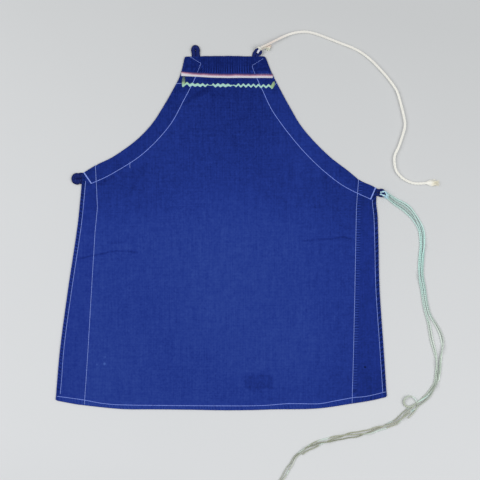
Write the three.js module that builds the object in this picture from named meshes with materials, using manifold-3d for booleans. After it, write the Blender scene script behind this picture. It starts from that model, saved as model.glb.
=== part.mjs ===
// Halter apron of blue cotton cloth, lying flat with its front up.
// Millimetres: +X to the right as seen from above, +Y towards the neck, +Z up from the table.
// The origin is under the middle of the apron, measured without its two cords.
import * as THREE from "three";
import { mergeVertices } from "three/addons/utils/BufferGeometryUtils.js";
import Module from "manifold-3d";

const wasm = await Module();
wasm.setup();

// Layers of cloth
const CLOTH = 1.2;
const FACING = 1.0;
const GAP = 0.3;
const TABLE_GAP = 0.1;
const LIFT = FACING + GAP;
const HEM_HEIGHT = 2.4;
const HEM_WIDTH = 8;
const HEM_SLOPE = 2.5;
const CLIMB = 3;

// How far past its stitch line a facing reaches, and how far past that the cloth stays lifted
const FACING_TURN = 1.5;
const LIFT_MARGIN = 1.2;
const FACING_INSET = 0.6;

// Heights that the neck is built on
const NECK_TOP = 341.8;
const NECK_FACING_LOW = 274.5;

// Trim across the neck
const TAPE_LEFT = -80;
const TAPE_RIGHT = 103;
const TAPE_HEIGHT = 7.8;
const TAPE_FLAT = 0.9;
const TAPE_ROLL = 1.6;
const TAPE_ROLL_EDGE = 1.1;
const BRAID_LEFT = -77;
const BRAID_RIGHT = 106;
const BRAID_PERIOD = 10;
const BRAID_SWING = 2.6;
const BRAID_BAND = 4.1;
const BRAID_THICK = 1.0;

// Cords
const NECK_CORD = 6;
const NECK_HITCH_CORD = 4.4;
const TIE_WIDTH = 9;
const TIE_HEIGHT = 4.4;
const TIE_HITCH_CORD = 3.6;

// How finely round pieces are faceted, and how near two points are to be one
const CORD_SIDES = 8;
const FRAYED_SIDES = 10;
const LOOP_STEPS = 28;
const NECK_HITCH_STEPS = 34;
const COLLAR_STEPS = 18;
const TIE_HITCH_STEPS = 64;
const NECK_CORD_STEPS = 48;
const TIE_STEPS = 56;
const WELD = 1e-4;

// Edges of the cloth from above, each a smooth line through a few points
const LEFT_ARMHOLE = [
  { x: -277.5, y: 108 },
  { x: -250, y: 125.5 },
  { x: -196.5, y: 155 },
  { x: -134.5, y: 215 },
  { x: -94.5, y: 279 },
  { x: -81.5, y: 306 },
  { x: -73, y: NECK_TOP },
];
const RIGHT_ARMHOLE = [
  { x: 311.5, y: 78 },
  { x: 251.5, y: 115 },
  { x: 201.5, y: 155 },
  { x: 149.5, y: 215 },
  { x: 116, y: 278 },
  { x: 101, y: 309 },
  { x: 88.5, y: NECK_TOP },
];
const LEFT_SIDE = [
  { x: -331, y: -344.5 },
  { x: -322.5, y: -245 },
  { x: -306.5, y: -125 },
  { x: -288.5, y: -5 },
  { x: -281.5, y: 60 },
  { x: -277.5, y: 108 },
];
const RIGHT_SIDE = [
  { x: 331, y: -338 },
  { x: 323.5, y: -245 },
  { x: 315.5, y: -125 },
  { x: 311.5, y: -5 },
  { x: 309.5, y: 45 },
  { x: 311.5, y: 78 },
];
const BOTTOM_EDGE = [
  { x: -331, y: -344.5 },
  { x: -274, y: -354.5 },
  { x: -200, y: -363.5 },
  { x: 0, y: -365.4 },
  { x: 190, y: -362.2 },
  { x: 262, y: -351 },
  { x: 331, y: -338 },
];

// Seams between the middle and the side panels, straight from row to row
const LEFT_SEAM = [
  { x: -274, y: -360 },
  { x: -266.6, y: -250 },
  { x: -259.6, y: -130 },
  { x: -252.3, y: -10 },
  { x: -247.4, y: 40 },
  { x: -251.5, y: 125 },
];
const RIGHT_SEAM = [
  { x: 261.3, y: -360 },
  { x: 264.4, y: -250 },
  { x: 267, y: -130 },
  { x: 269.3, y: -10 },
  { x: 270.2, y: 40 },
  { x: 274.5, y: 99 },
];
// Heights of the rows that all three panels share, so that their seams lie against each other
const PANEL_ROWS = [-310, -250, -190, -130, -70, -10, 40];
// Heights of the middle panel's rows beside the armholes and at the neck, and of the neck facing's rows
const ARMHOLE_ROWS = [99, 107, 116, 125, 138, 152, 168, 186, 205, 225, 245, 260];
const NECK_ROWS = [284, 296, 308, 318, 328, 335, NECK_TOP];
const NECK_FACING_ROWS = [NECK_FACING_LOW, 285, 296, 308, 318, 323, 327.5, 334, NECK_TOP - FACING_INSET];

// Stitch lines that hold the armhole facings, from the waist to the neck
const LEFT_FACING_STITCH = [
  { x: -259.5, y: 88 },
  { x: -219, y: 107 },
  { x: -157, y: 147 },
  { x: -104.5, y: 202 },
  { x: -74.5, y: 255 },
  { x: -54, y: 295 },
  { x: -40.5, y: 328 },
];
const RIGHT_FACING_STITCH = [
  { x: 298.5, y: 56.5 },
  { x: 236, y: 88.5 },
  { x: 169.5, y: 147 },
  { x: 108.5, y: 223.5 },
  { x: 81.7, y: 276 },
  { x: 66.5, y: 309 },
  { x: 61.5, y: 323.5 },
];
// Ends of the facings: on the armhole at the waist, and on the top edge at the neck
const LEFT_FACING_ENDS = { waist: { x: -274.5, y: 110 }, neck: { x: -62.5, y: NECK_TOP - FACING_INSET } };
const RIGHT_FACING_ENDS = { waist: { x: 308.5, y: 79.8 }, neck: { x: 84, y: 337.5 } };

// Middle line of the tape and of the zigzag braid
const TAPE_LINE = [
  { x: TAPE_LEFT, y: 306.5 },
  { x: 10, y: 303 },
  { x: TAPE_RIGHT, y: 302.5 },
];
const BRAID_LINE = [
  { x: BRAID_LEFT, y: 286 },
  { x: 10, y: 284 },
  { x: BRAID_RIGHT, y: 283.5 },
];

// Cloth loops: where each meets the edge, the way square to that edge and the way that the loop points,
// in degrees, its length and outer width, the width and height of its rolled strip, and its tip's rise
const LOOPS = [
  { name: "neck_loop_left", x: -49.5, y: NECK_TOP + GAP, edge: 90, axis: 96, length: 23.4, outer: 17.4,
    strip: 6.2, height: 4.4, rise: 0 },
  { name: "neck_loop_right", x: 68.1, y: NECK_TOP + GAP, edge: 90, axis: 52, length: 21.6, outer: 15,
    strip: 4.7, height: 3.6, rise: 4.7 },
  { name: "waist_loop_left", x: -279.9, y: 97, edge: 175, axis: 200, length: 21, outer: 22,
    strip: 8.4, height: 4.4, rise: 0 },
  { name: "waist_loop_right", x: 311.2, y: 67.5, edge: -4, axis: -12.7, length: 21, outer: 18,
    strip: 4.6, height: 3.6, rise: 3.9 },
];
// One leg of a loop, as shares of its length and of its half width
const LOOP_LEG = [
  { along: 0.42, aside: 0.85 },
  { along: 0.66, aside: 1 },
  { along: 0.9, aside: 0.66 },
];
const LOOP_TAB = 2;
const LOOP_TAB_HEIGHT = 2.2;
// Shares of its length between which a loop's strip fills out, and between which it rises
const LOOP_FILLS = { from: 0.05, to: 0.4 };
const LOOP_RISES = { from: 0.3, to: 0.85 };

// The hitch of the neck cord on its loop: along the loop's axis, aside from it, and height
const NECK_HITCH = [
  { along: 36, aside: -5.2, z: 3.1 },
  { along: 31, aside: -2.2, z: 4.4 },
  { along: 27, aside: -0.4, z: 6 },
  { along: 23, aside: 0.4, z: 9.6 },
  { along: 19.2, aside: 0.4, z: 10.9 },
  { along: 15.4, aside: 0.2, z: 9.7 },
  { along: 13.3, aside: 0, z: 6.5 },
  { along: 15, aside: -0.4, z: 3.3 },
  { along: 19.2, aside: -1.2, z: 2.25 },
  { along: 23, aside: -2.8, z: 3.2 },
  { along: 27, aside: -5, z: 4.9 },
  { along: 31, aside: -8.2, z: 3.4 },
  { along: 35, aside: -11.5, z: 2.3 },
  { along: 39, aside: -14, z: 2.25 },
];
// The turn of cord that binds the hitch
const COLLAR = { along: 27.5, aside: -2.9, z: 5.4, halfWidth: 5.2, halfHeight: 3.3, cord: 3.4, turn: -22 };
// Where the free cord starts, just past the hitch's first point
const NECK_START = { along: 36.6, aside: -5.5, z: 3.1 };

// Half of the waist tie's hitch: over the tip of its loop, back under it, and up to the bar across the ends
const TIE_HITCH = [
  { along: 33, aside: 2, z: 2 },
  { along: 28.5, aside: 2.1, z: 3.1 },
  { along: 25, aside: 2.2, z: 5.8 },
  { along: 21.5, aside: 2.2, z: 9.3 },
  { along: 18.2, aside: 2.2, z: 9.9 },
  { along: 14.5, aside: 1.95, z: 8.6 },
  { along: 12.7, aside: 1.95, z: 5.2 },
  { along: 14.5, aside: 2.1, z: 2.3 },
  { along: 18.2, aside: 3, z: 1.85 },
  { along: 22.5, aside: 5, z: 2 },
  { along: 26, aside: 6, z: 4.9 },
  { along: 27.2, aside: 3.6, z: 8.8 },
];
const TIE_HITCH_BAR = { along: 27.4, aside: 0, z: 9.9 };
const TIE_BEND_START = 22;
const TIE_BEND = 0.5;
// Where the free tie starts along the loop's axis
const TIE_START = 34.5;

// Routes on the table, from each hitch to the free end
const NECK_CORD_ROUTE = [
  [101, 370], [119, 379], [142, 388], [165, 391], [185, 388], [211, 379], [236, 369], [262, 359],
  [282, 348], [302, 332], [323, 310], [338, 292], [351, 272], [359, 246], [365, 221], [367, 203],
  [362, 183], [354, 160], [347, 145], [346, 129], [351, 111], [366, 96], [387, 88], [410, 89], [421, 89],
];
const TIE_ROUTE = [
  [351, 50], [371, 34], [389, 16], [399, -4], [401, -33], [399, -63], [398, -94], [403, -124],
  [408, -150], [415, -173], [425, -198], [431, -227], [433, -255], [432, -283], [428, -309], [421, -325],
  [410, -339], [392, -353], [371, -367], [350, -383], [332, -394], [304, -404], [277, -411], [247, -415],
  [217, -423], [189, -433], [166, -445], [150, -459], [139, -475], [127, -489], [118, -502], [110, -514],
];

// The flared end of the neck cord, past the end of its route
const FRAYED_END = [
  { at: 0.3, width: 5.6, height: 5.6 },
  { at: 4, width: 7, height: 5.8 },
  { at: 9, width: 12, height: 5.4 },
  { at: 14, width: 15, height: 4.2 },
];

// Colours and finishes
const FINISH = {
  cloth: { color: 0x22368a, roughness: 0.92, metalness: 0 },
  sideCloth: { color: 0x1f3084, roughness: 0.92, metalness: 0 },
  facing: { color: 0x1d2d7c, roughness: 0.92, metalness: 0 },
  loop: { color: 0x141d4e, roughness: 0.85, metalness: 0 },
  tape: { color: 0xe0b9c4, roughness: 0.8, metalness: 0 },
  braid: { color: 0xa9d8c4, roughness: 0.8, metalness: 0 },
  cotton: { color: 0xe9e4d6, roughness: 0.9, metalness: 0 },
  yarn: { color: 0x9fb9ad, roughness: 0.9, metalness: 0 },
};

const FIELD = { low: 0, high: CLOTH };
const OVER_FACING = { low: LIFT, high: LIFT + CLOTH };
const HEM = { low: 0, high: HEM_HEIGHT };
const TRIM_LOW = OVER_FACING.high + GAP;
const UP = new THREE.Vector3(0, 0, 1);

const apron = new THREE.Group();

function place(name, geometry, finish) {
  const mesh = new THREE.Mesh(geometry, new THREE.MeshStandardMaterial(finish));
  mesh.name = name;
  apron.add(mesh);
}

function mix(a, b, share) {
  return a + (b - a) * share;
}

// A smooth line through the rows of a table, as many short straight steps
function lineThrough(rows) {
  const stepsPerRow = 10;
  const curve = new THREE.SplineCurve(rows.map((row) => new THREE.Vector2(row.x, row.y)));
  return curve.getPoints(stepsPerRow * (rows.length - 1));
}

function pointsOf(rows) {
  return rows.map((row) => new THREE.Vector2(row.x, row.y));
}

// The same line moved sideways: a positive distance is to the right of its travel
function offsetLine(line, distance) {
  const normals = line.slice(1).map((point, i) => {
    const run = point.clone().sub(line[i]).normalize();
    return new THREE.Vector2(run.y, -run.x);
  });
  return line.map((point, i) => {
    const before = normals[Math.max(i - 1, 0)];
    const after = normals[Math.min(i, normals.length - 1)];
    const reach = distance / (1 + before.dot(after));
    return before.clone().add(after).multiplyScalar(reach).add(point);
  });
}

// Where a line has the given value of one coordinate, the value of the other; its ends are held past them
function crossing(line, known, wanted, value) {
  const rising = line[line.length - 1][known] > line[0][known];
  const ordered = rising ? line : [...line].reverse();
  if (value <= ordered[0][known]) return ordered[0][wanted];
  for (let i = 1; i < ordered.length; i++) {
    const a = ordered[i - 1];
    const b = ordered[i];
    if (value <= b[known]) return mix(a[wanted], b[wanted], (value - a[known]) / (b[known] - a[known]));
  }
  return ordered[ordered.length - 1][wanted];
}

function xAt(line, y) {
  return crossing(line, "y", "x", y);
}

function yAt(line, x) {
  return crossing(line, "x", "y", x);
}

function alongLine(line, share) {
  const path = new THREE.CurvePath();
  line.slice(1).forEach((point, i) => path.add(new THREE.LineCurve(line[i], point)));
  return path.getPointAt(THREE.MathUtils.clamp(share, 0, 1));
}

function geometryOf(positions, triangles) {
  const geometry = new THREE.BufferGeometry();
  geometry.setAttribute("position", new THREE.Float32BufferAttribute(positions, 3));
  geometry.setIndex(triangles);
  geometry.computeVertexNormals();
  return geometry;
}

// A closed sheet from rows of points that each have a place and the heights of both faces.
// Rows run from the hem to the neck, and points in a row from left to right.
function sheet(rows) {
  const columns = rows[0].length;
  const count = rows.length * columns;
  const points = rows.flat();
  const positions = [
    ...points.flatMap((point) => [point.x, point.y, point.high]),
    ...points.flatMap((point) => [point.x, point.y, point.low]),
  ];
  const triangles = [];
  const quad = (a, b, c, d) => triangles.push(a, b, c, a, c, d);
  for (let r = 0; r + 1 < rows.length; r++) {
    for (let c = 0; c + 1 < columns; c++) {
      const corner = r * columns + c;
      const around = [corner, corner + 1, corner + columns + 1, corner + columns];
      quad(...around);
      quad(...around.reverse().map((index) => index + count));
    }
  }
  const rim = [
    ...rows[0].map((_, c) => c),
    ...rows.slice(1).map((_, r) => (r + 2) * columns - 1),
    ...rows[0].slice(1).map((_, c) => count - 2 - c),
    ...rows.slice(1, -1).map((_, r) => (rows.length - 2 - r) * columns),
  ];
  rim.forEach((index, i) => {
    const next = rim[(i + 1) % rim.length];
    quad(index, index + count, next + count, next);
  });
  return geometryOf(positions, triangles);
}

// A closed bar of oval section along stations that each have a centre, a travel direction and a size
function ovalBar(stations, sides) {
  const positions = [];
  const triangles = [];
  for (const { centre, travel, width, height } of stations) {
    const across = new THREE.Vector3().crossVectors(UP, travel).normalize();
    const upright = new THREE.Vector3().crossVectors(travel, across).normalize();
    for (let k = 0; k < sides; k++) {
      const angle = (2 * Math.PI * k) / sides;
      const point = centre.clone();
      point.addScaledVector(across, (Math.cos(angle) * width) / 2);
      point.addScaledVector(upright, (Math.sin(angle) * height) / 2);
      positions.push(...point.toArray());
    }
  }
  const last = (stations.length - 1) * sides;
  for (let i = 0; i < last; i += sides) {
    for (let k = 0; k < sides; k++) {
      const next = (k + 1) % sides;
      triangles.push(i + k, i + next, i + sides + next, i + k, i + sides + next, i + sides + k);
    }
  }
  for (let k = 1; k + 1 < sides; k++) {
    triangles.push(0, k + 1, k, last, last + k, last + k + 1);
  }
  return geometryOf(positions, triangles);
}

// A cord of oval section along a curve
function cordAlong(points, width, height, steps) {
  const section = Array.from({ length: CORD_SIDES }, (_, k) => {
    const angle = (2 * Math.PI * (k + 0.5)) / CORD_SIDES;
    return new THREE.Vector2((Math.cos(angle) * height) / 2, (Math.sin(angle) * width) / 2);
  });
  const extrudePath = new THREE.CatmullRomCurve3(points, false, "centripetal");
  return new THREE.ExtrudeGeometry(new THREE.Shape(section), { steps, extrudePath, bevelEnabled: false });
}

function solidOf(geometry) {
  const bare = geometry.clone();
  bare.deleteAttribute("normal");
  bare.deleteAttribute("uv");
  const merged = mergeVertices(bare, WELD);
  const vertProperties = new Float32Array(merged.attributes.position.array);
  const triVerts = new Uint32Array(merged.index.array);
  return new wasm.Manifold(new wasm.Mesh({ numProp: 3, vertProperties, triVerts }));
}

function fused(first, second) {
  const mesh = solidOf(first).add(solidOf(second)).getMesh();
  return geometryOf([...mesh.vertProperties], [...mesh.triVerts]);
}

const edges = {
  left: lineThrough(LEFT_ARMHOLE),
  right: lineThrough(RIGHT_ARMHOLE),
  leftSide: lineThrough(LEFT_SIDE),
  rightSide: lineThrough(RIGHT_SIDE),
  bottom: lineThrough(BOTTOM_EDGE),
};
const seams = { left: pointsOf(LEFT_SEAM), right: pointsOf(RIGHT_SEAM) };
const stitches = { left: lineThrough(LEFT_FACING_STITCH), right: lineThrough(RIGHT_FACING_STITCH) };

// A facing's inner edge, or a line further past it, on the side of the stitch line away from the armhole
function pastStitch(side, distance) {
  return offsetLine(stitches[side], side === "left" ? distance : -distance);
}

// The stitch across a facing's waist end and on past the seam, moved out below it
function belowWaistEnd(side, distance) {
  const pastSeam = 7;
  const ends = side === "left" ? LEFT_FACING_ENDS : RIGHT_FACING_ENDS;
  const line = [ends.waist, stitches[side][0], stitches[side][pastSeam]];
  return offsetLine(pointsOf(side === "left" ? line : line.reverse()), distance);
}

// One row of a panel: each column is moved along its own line until it has the row's height there
function panelRow(columns, columnAt, heightAt, layerAt) {
  const passes = 4;
  return Array.from({ length: columns }, (_, c) => {
    let x = columnAt(c, 0);
    for (let pass = 0; pass < passes; pass++) x = columnAt(c, heightAt(x));
    const y = heightAt(x);
    return { x, y, ...layerAt(c, y) };
  });
}

// Rows of the folded hem, measured up from the bottom edge
const HEM_ROWS = [
  { above: 0, folded: true },
  { above: HEM_WIDTH, folded: true },
  { above: HEM_WIDTH + HEM_SLOPE, folded: false },
];

function aboveBottom(distance) {
  return (x) => yAt(edges.bottom, x) + distance;
}

// Middle panel, from the hem to the neck between the seams and, above them, the armholes
function middlePanel() {
  const fieldColumns = 8;
  const narrowest = 2;
  const columns = fieldColumns + 5;
  const sides = { left: 1, right: -1 };
  const seamTop = { left: LEFT_SEAM.at(-1).y, right: RIGHT_SEAM.at(-1).y };
  const seamX = { left: LEFT_SEAM.at(-2).x, right: RIGHT_SEAM.at(-2).x };
  const liftLine = {};
  const flatLine = {};
  const seamLift = {};
  for (const side of Object.keys(sides)) {
    liftLine[side] = pastStitch(side, FACING_TURN + LIFT_MARGIN);
    flatLine[side] = pastStitch(side, FACING_TURN + LIFT_MARGIN + CLIMB);
    seamLift[side] = yAt(liftLine[side], seamX[side]);
  }
  const neckLift = NECK_FACING_LOW - LIFT_MARGIN;
  const heights = [
    ...PANEL_ROWS,
    seamLift.right - CLIMB, seamLift.right, seamLift.left - CLIMB, seamLift.left,
    ...ARMHOLE_ROWS,
    neckLift - CLIMB, neckLift,
    ...NECK_ROWS,
  ];

  // The edge, the end of the lifted strip and the start of the flat field on one side
  const sidePlaces = (side, y) => {
    const inward = sides[side];
    const edge = y > seamTop[side] ? xAt(edges[side], y) : xAt(seams[side], y) + (inward * GAP) / 2;
    const inner = (a, b) => (inward > 0 ? Math.max(a, b) : Math.min(a, b));
    const belowFacing = y < stitches[side][0].y;
    const lifted = inner(belowFacing ? edge : xAt(liftLine[side], y), edge + inward * narrowest);
    const flat = inner(belowFacing ? edge : xAt(flatLine[side], y), lifted + inward * CLIMB);
    return { edge, lifted, flat };
  };
  const columnAt = (c, y) => {
    const left = sidePlaces("left", y);
    const right = sidePlaces("right", y);
    if (c < 2) return c === 0 ? left.edge : left.lifted;
    if (c > columns - 3) return c === columns - 1 ? right.edge : right.lifted;
    return mix(left.flat, right.flat, (c - 2) / fieldColumns);
  };
  const nearZero = 1e-6;
  const layerAt = (c, y) => {
    const onLeft = c < 2 && y > seamLift.left - nearZero;
    const onRight = c > columns - 3 && y > seamLift.right - nearZero;
    return onLeft || onRight || y > neckLift - nearZero ? OVER_FACING : FIELD;
  };
  const hem = HEM_ROWS.map(({ above, folded }) => {
    return panelRow(columns, columnAt, aboveBottom(above), () => (folded ? HEM : FIELD));
  });
  return sheet([...hem, ...heights.map((y) => panelRow(columns, columnAt, () => y, layerAt))]);
}

// Side panel from its hemmed side to its seam, with a hem below and a facing under its top
function sidePanel(side) {
  const inward = side === "left" ? 1 : -1;
  const thinnestTop = 4;
  const hemPlaces = [0, HEM_WIDTH, HEM_WIDTH + HEM_SLOPE];
  const fieldShares = [0.35, 0.68, 1];
  const columns = hemPlaces.length + fieldShares.length;
  const liftLine = belowWaistEnd(side, FACING_TURN + LIFT_MARGIN);
  const flatLine = belowWaistEnd(side, FACING_TURN + LIFT_MARGIN + CLIMB);
  const columnAt = (c, y) => {
    const outer = xAt(edges[side + "Side"], y);
    const seam = xAt(seams[side], y) - (inward * GAP) / 2;
    if (c < hemPlaces.length) return outer + inward * hemPlaces[c];
    return mix(outer + inward * hemPlaces.at(-1), seam, fieldShares[c - hemPlaces.length]);
  };
  const top = (x) => yAt(edges[side], x);
  const lifted = (x) => Math.min(yAt(liftLine, x), top(x) - thinnestTop);
  const flat = (x) => Math.min(yAt(flatLine, x), lifted(x) - CLIMB);
  const halfway = (x) => mix(lifted(x), top(x), 0.5);
  const hemmed = (c) => (c < 2 ? HEM : FIELD);
  const row = (heightAt, layerAt) => {
    const points = panelRow(columns, columnAt, heightAt, layerAt);
    return side === "left" ? points : points.reverse();
  };
  return sheet([
    ...HEM_ROWS.map(({ above, folded }) => row(aboveBottom(above), folded ? () => HEM : hemmed)),
    ...PANEL_ROWS.map((y) => row(() => y, hemmed)),
    row(flat, hemmed),
    ...[lifted, halfway, top].map((heightAt) => row(heightAt, () => OVER_FACING)),
  ]);
}

// Facing strip under an armhole, from the waist corner to the neck
function armholeFacing(side) {
  const stations = 18;
  const middleShare = 0.35;
  const ends = side === "left" ? LEFT_FACING_ENDS : RIGHT_FACING_ENDS;
  const outer = offsetLine(edges[side], side === "left" ? FACING_INSET : -FACING_INSET);
  const start = outer.findIndex((point) => Math.abs(point.x) < Math.abs(ends.waist.x));
  const edge = [new THREE.Vector2(ends.waist.x, ends.waist.y - FACING_INSET), ...outer.slice(start)];
  const inner = pastStitch(side, FACING_TURN);
  const rows = [];
  for (let i = 0; i < stations; i++) {
    const share = i / (stations - 1);
    const out = alongLine(edge, share);
    const inside = alongLine(inner, share);
    out.y = Math.min(out.y, NECK_TOP - FACING_INSET);
    const middle = out.clone().lerp(inside, middleShare);
    if (i === stations - 1) middle.set(ends.neck.x, ends.neck.y);
    const points = [out, middle, inside].map(({ x, y }) => ({ x, y, low: 0, high: FACING }));
    rows.push(side === "left" ? points : points.reverse());
  }
  return sheet(rows);
}

// Facing under the neck, between the two armhole facings
function neckFacing() {
  const columns = 6;
  const clear = FACING_TURN + GAP;
  const cornerClear = 2 * clear;
  const top = NECK_FACING_ROWS.at(-1);
  const leftTop = new THREE.Vector2(LEFT_FACING_ENDS.neck.x + cornerClear, top);
  const rightTop = new THREE.Vector2(RIGHT_FACING_ENDS.neck.x - cornerClear, top);
  const leftLine = [...pastStitch("left", clear), leftTop];
  const rightLine = [...pastStitch("right", clear), rightTop];
  return sheet(
    NECK_FACING_ROWS.map((y) => {
      const left = xAt(leftLine, y);
      const right = xAt(rightLine, y);
      return Array.from({ length: columns + 1 }, (_, c) => {
        return { x: mix(left, right, c / columns), y, low: 0, high: FACING };
      });
    }),
  );
}

// Tape sewn across the neck, with a thick rolled lower half and a flat upper half
function neckTape() {
  const line = lineThrough(TAPE_LINE);
  const bands = [
    { share: -0.5, thick: TAPE_ROLL_EDGE },
    { share: -0.32, thick: TAPE_ROLL },
    { share: -0.12, thick: TAPE_ROLL },
    { share: 0.04, thick: TAPE_FLAT },
    { share: 0.5, thick: TAPE_FLAT },
  ];
  return sheet(
    bands.map(({ share, thick }) => {
      const layer = { low: TRIM_LOW, high: TRIM_LOW + thick };
      return line.map(({ x, y }) => ({ x, y: y + share * TAPE_HEIGHT, ...layer }));
    }),
  );
}

// Zigzag braid below the tape
function zigzagBraid() {
  const stepsPerPeriod = 6;
  const steps = Math.round(((BRAID_RIGHT - BRAID_LEFT) / BRAID_PERIOD) * stepsPerPeriod);
  const line = lineThrough(BRAID_LINE);
  const edge = (side) => {
    return Array.from({ length: steps + 1 }, (_, i) => {
      const x = mix(BRAID_LEFT, BRAID_RIGHT, i / steps);
      const swing = BRAID_SWING * Math.sin((2 * Math.PI * i) / stepsPerPeriod);
      const y = yAt(line, x) + swing + (side * BRAID_BAND) / 2;
      return { x, y, low: TRIM_LOW, high: TRIM_LOW + BRAID_THICK };
    });
  };
  return sheet([edge(-1), edge(1)]);
}

// A loop's own directions: out along its axis and aside from it
function loopFrame(loop) {
  const turn = THREE.MathUtils.degToRad(loop.axis);
  const out = new THREE.Vector3(Math.cos(turn), Math.sin(turn), 0);
  const aside = new THREE.Vector3(-Math.sin(turn), Math.cos(turn), 0);
  return { base: new THREE.Vector3(loop.x, loop.y, 0), out, aside };
}

function inLoop(frame, along, aside, z) {
  const point = frame.base.clone();
  return point.addScaledVector(frame.out, along).addScaledVector(frame.aside, aside).setZ(z);
}

// Rolled strip of cloth in a drop shape, both ends against the cloth's edge, its tip raised
function clothLoop(loop) {
  const frame = loopFrame(loop);
  const reach = loop.length - loop.strip / 2;
  const halfWidth = (loop.outer - loop.strip) / 2;
  const square = loopFrame({ ...loop, axis: loop.edge });
  const spread = loop.strip / 2 + GAP;
  const leg = (sign) => [
    inLoop(square, 0, sign * spread, 0),
    inLoop(square, LOOP_TAB, sign * spread, 0),
    ...LOOP_LEG.map((row) => inLoop(frame, row.along * reach, sign * row.aside * halfWidth, 0)),
  ];
  const path = [...leg(1), inLoop(frame, reach, 0, 0), ...leg(-1).reverse()];
  const curve = new THREE.CatmullRomCurve3(path, false, "centripetal");
  const stations = Array.from({ length: LOOP_STEPS + 1 }, (_, i) => {
    const centre = curve.getPointAt(i / LOOP_STEPS);
    const share = centre.clone().sub(frame.base).dot(frame.out) / reach;
    const filled = THREE.MathUtils.smoothstep(share, LOOP_FILLS.from, LOOP_FILLS.to);
    const raised = THREE.MathUtils.smoothstep(share, LOOP_RISES.from, LOOP_RISES.to);
    const height = mix(LOOP_TAB_HEIGHT, loop.height, filled);
    centre.z = height / 2 + loop.rise * raised;
    return { centre, travel: curve.getTangentAt(i / LOOP_STEPS), width: loop.strip, height };
  });
  return ovalBar(stations, CORD_SIDES);
}

// The neck cord's turn through its loop, with its short tail and the binding turn
function neckHitch(frame) {
  const points = NECK_HITCH.map((row) => inLoop(frame, row.along, row.aside, row.z));
  const turn = cordAlong(points, NECK_HITCH_CORD, NECK_HITCH_CORD, NECK_HITCH_STEPS);
  const collar = new THREE.TorusGeometry(COLLAR.halfWidth, COLLAR.cord / 2, CORD_SIDES, COLLAR_STEPS);
  collar.scale(1, COLLAR.halfHeight / COLLAR.halfWidth, 1);
  collar.rotateX(Math.PI / 2);
  collar.rotateZ(Math.atan2(frame.aside.y, frame.aside.x) + THREE.MathUtils.degToRad(COLLAR.turn));
  const centre = inLoop(frame, COLLAR.along, COLLAR.aside, COLLAR.z);
  collar.translate(centre.x, centre.y, centre.z);
  return fused(turn, collar);
}

// The waist tie's hitch: two turns over the loop's tip and a bar across its own two ends
function tieHitch(frame) {
  const bent = (row, sign) => {
    const bend = TIE_BEND * Math.max(row.along - TIE_BEND_START, 0);
    return inLoop(frame, row.along, sign * row.aside - bend, row.z);
  };
  const half = (sign) => TIE_HITCH.map((row) => bent(row, sign));
  const points = [...half(1), bent(TIE_HITCH_BAR, 1), ...half(-1).reverse()];
  return cordAlong(points, TIE_HITCH_CORD, TIE_HITCH_CORD, TIE_HITCH_STEPS);
}

// A free cord on the table, from a point just past its hitch along its route
function laidCord(start, route, width, height, steps) {
  const z = height / 2 + TABLE_GAP;
  const points = [start, ...route.map(([x, y]) => new THREE.Vector3(x, y, z))];
  return cordAlong(points, width, height, steps);
}

// The flared, flattened end past the last point of the neck cord's route
function frayedEnd() {
  const [from, to] = NECK_CORD_ROUTE.slice(-2).map(([x, y]) => new THREE.Vector3(x, y, 0));
  const travel = to.clone().sub(from).normalize();
  const stations = FRAYED_END.map(({ at, width, height }) => {
    const centre = to.clone().addScaledVector(travel, at);
    centre.z = height / 2 + TABLE_GAP;
    return { centre, travel, width, height };
  });
  return ovalBar(stations, FRAYED_SIDES);
}

place("middle_panel", middlePanel(), FINISH.cloth);
place("left_side_panel", sidePanel("left"), FINISH.sideCloth);
place("right_side_panel", sidePanel("right"), FINISH.sideCloth);
place("left_armhole_facing", armholeFacing("left"), FINISH.facing);
place("right_armhole_facing", armholeFacing("right"), FINISH.facing);
place("neck_facing", neckFacing(), FINISH.facing);
place("neck_tape", neckTape(), FINISH.tape);
place("zigzag_braid", zigzagBraid(), FINISH.braid);

const frames = {};
for (const loop of LOOPS) {
  frames[loop.name] = loopFrame(loop);
  place(loop.name, clothLoop(loop), FINISH.loop);
}

const neckFrame = frames.neck_loop_right;
const neckStart = inLoop(neckFrame, NECK_START.along, NECK_START.aside, NECK_START.z);
const neckCord = laidCord(neckStart, NECK_CORD_ROUTE, NECK_CORD, NECK_CORD, NECK_CORD_STEPS);
place("neck_cord_hitch", neckHitch(neckFrame), FINISH.cotton);
place("neck_cord", neckCord, FINISH.cotton);
place("neck_cord_frayed_end", frayedEnd(), FINISH.cotton);

const tieFrame = frames.waist_loop_right;
const tieAside = -TIE_BEND * (TIE_START - TIE_BEND_START);
const tieStart = inLoop(tieFrame, TIE_START, tieAside, TIE_HEIGHT / 2 + TABLE_GAP);
place("waist_tie_hitch", tieHitch(tieFrame), FINISH.yarn);
place("waist_tie", laidCord(tieStart, TIE_ROUTE, TIE_WIDTH, TIE_HEIGHT, TIE_STEPS), FINISH.yarn);

export default apron;
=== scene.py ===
import math
import random

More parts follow.
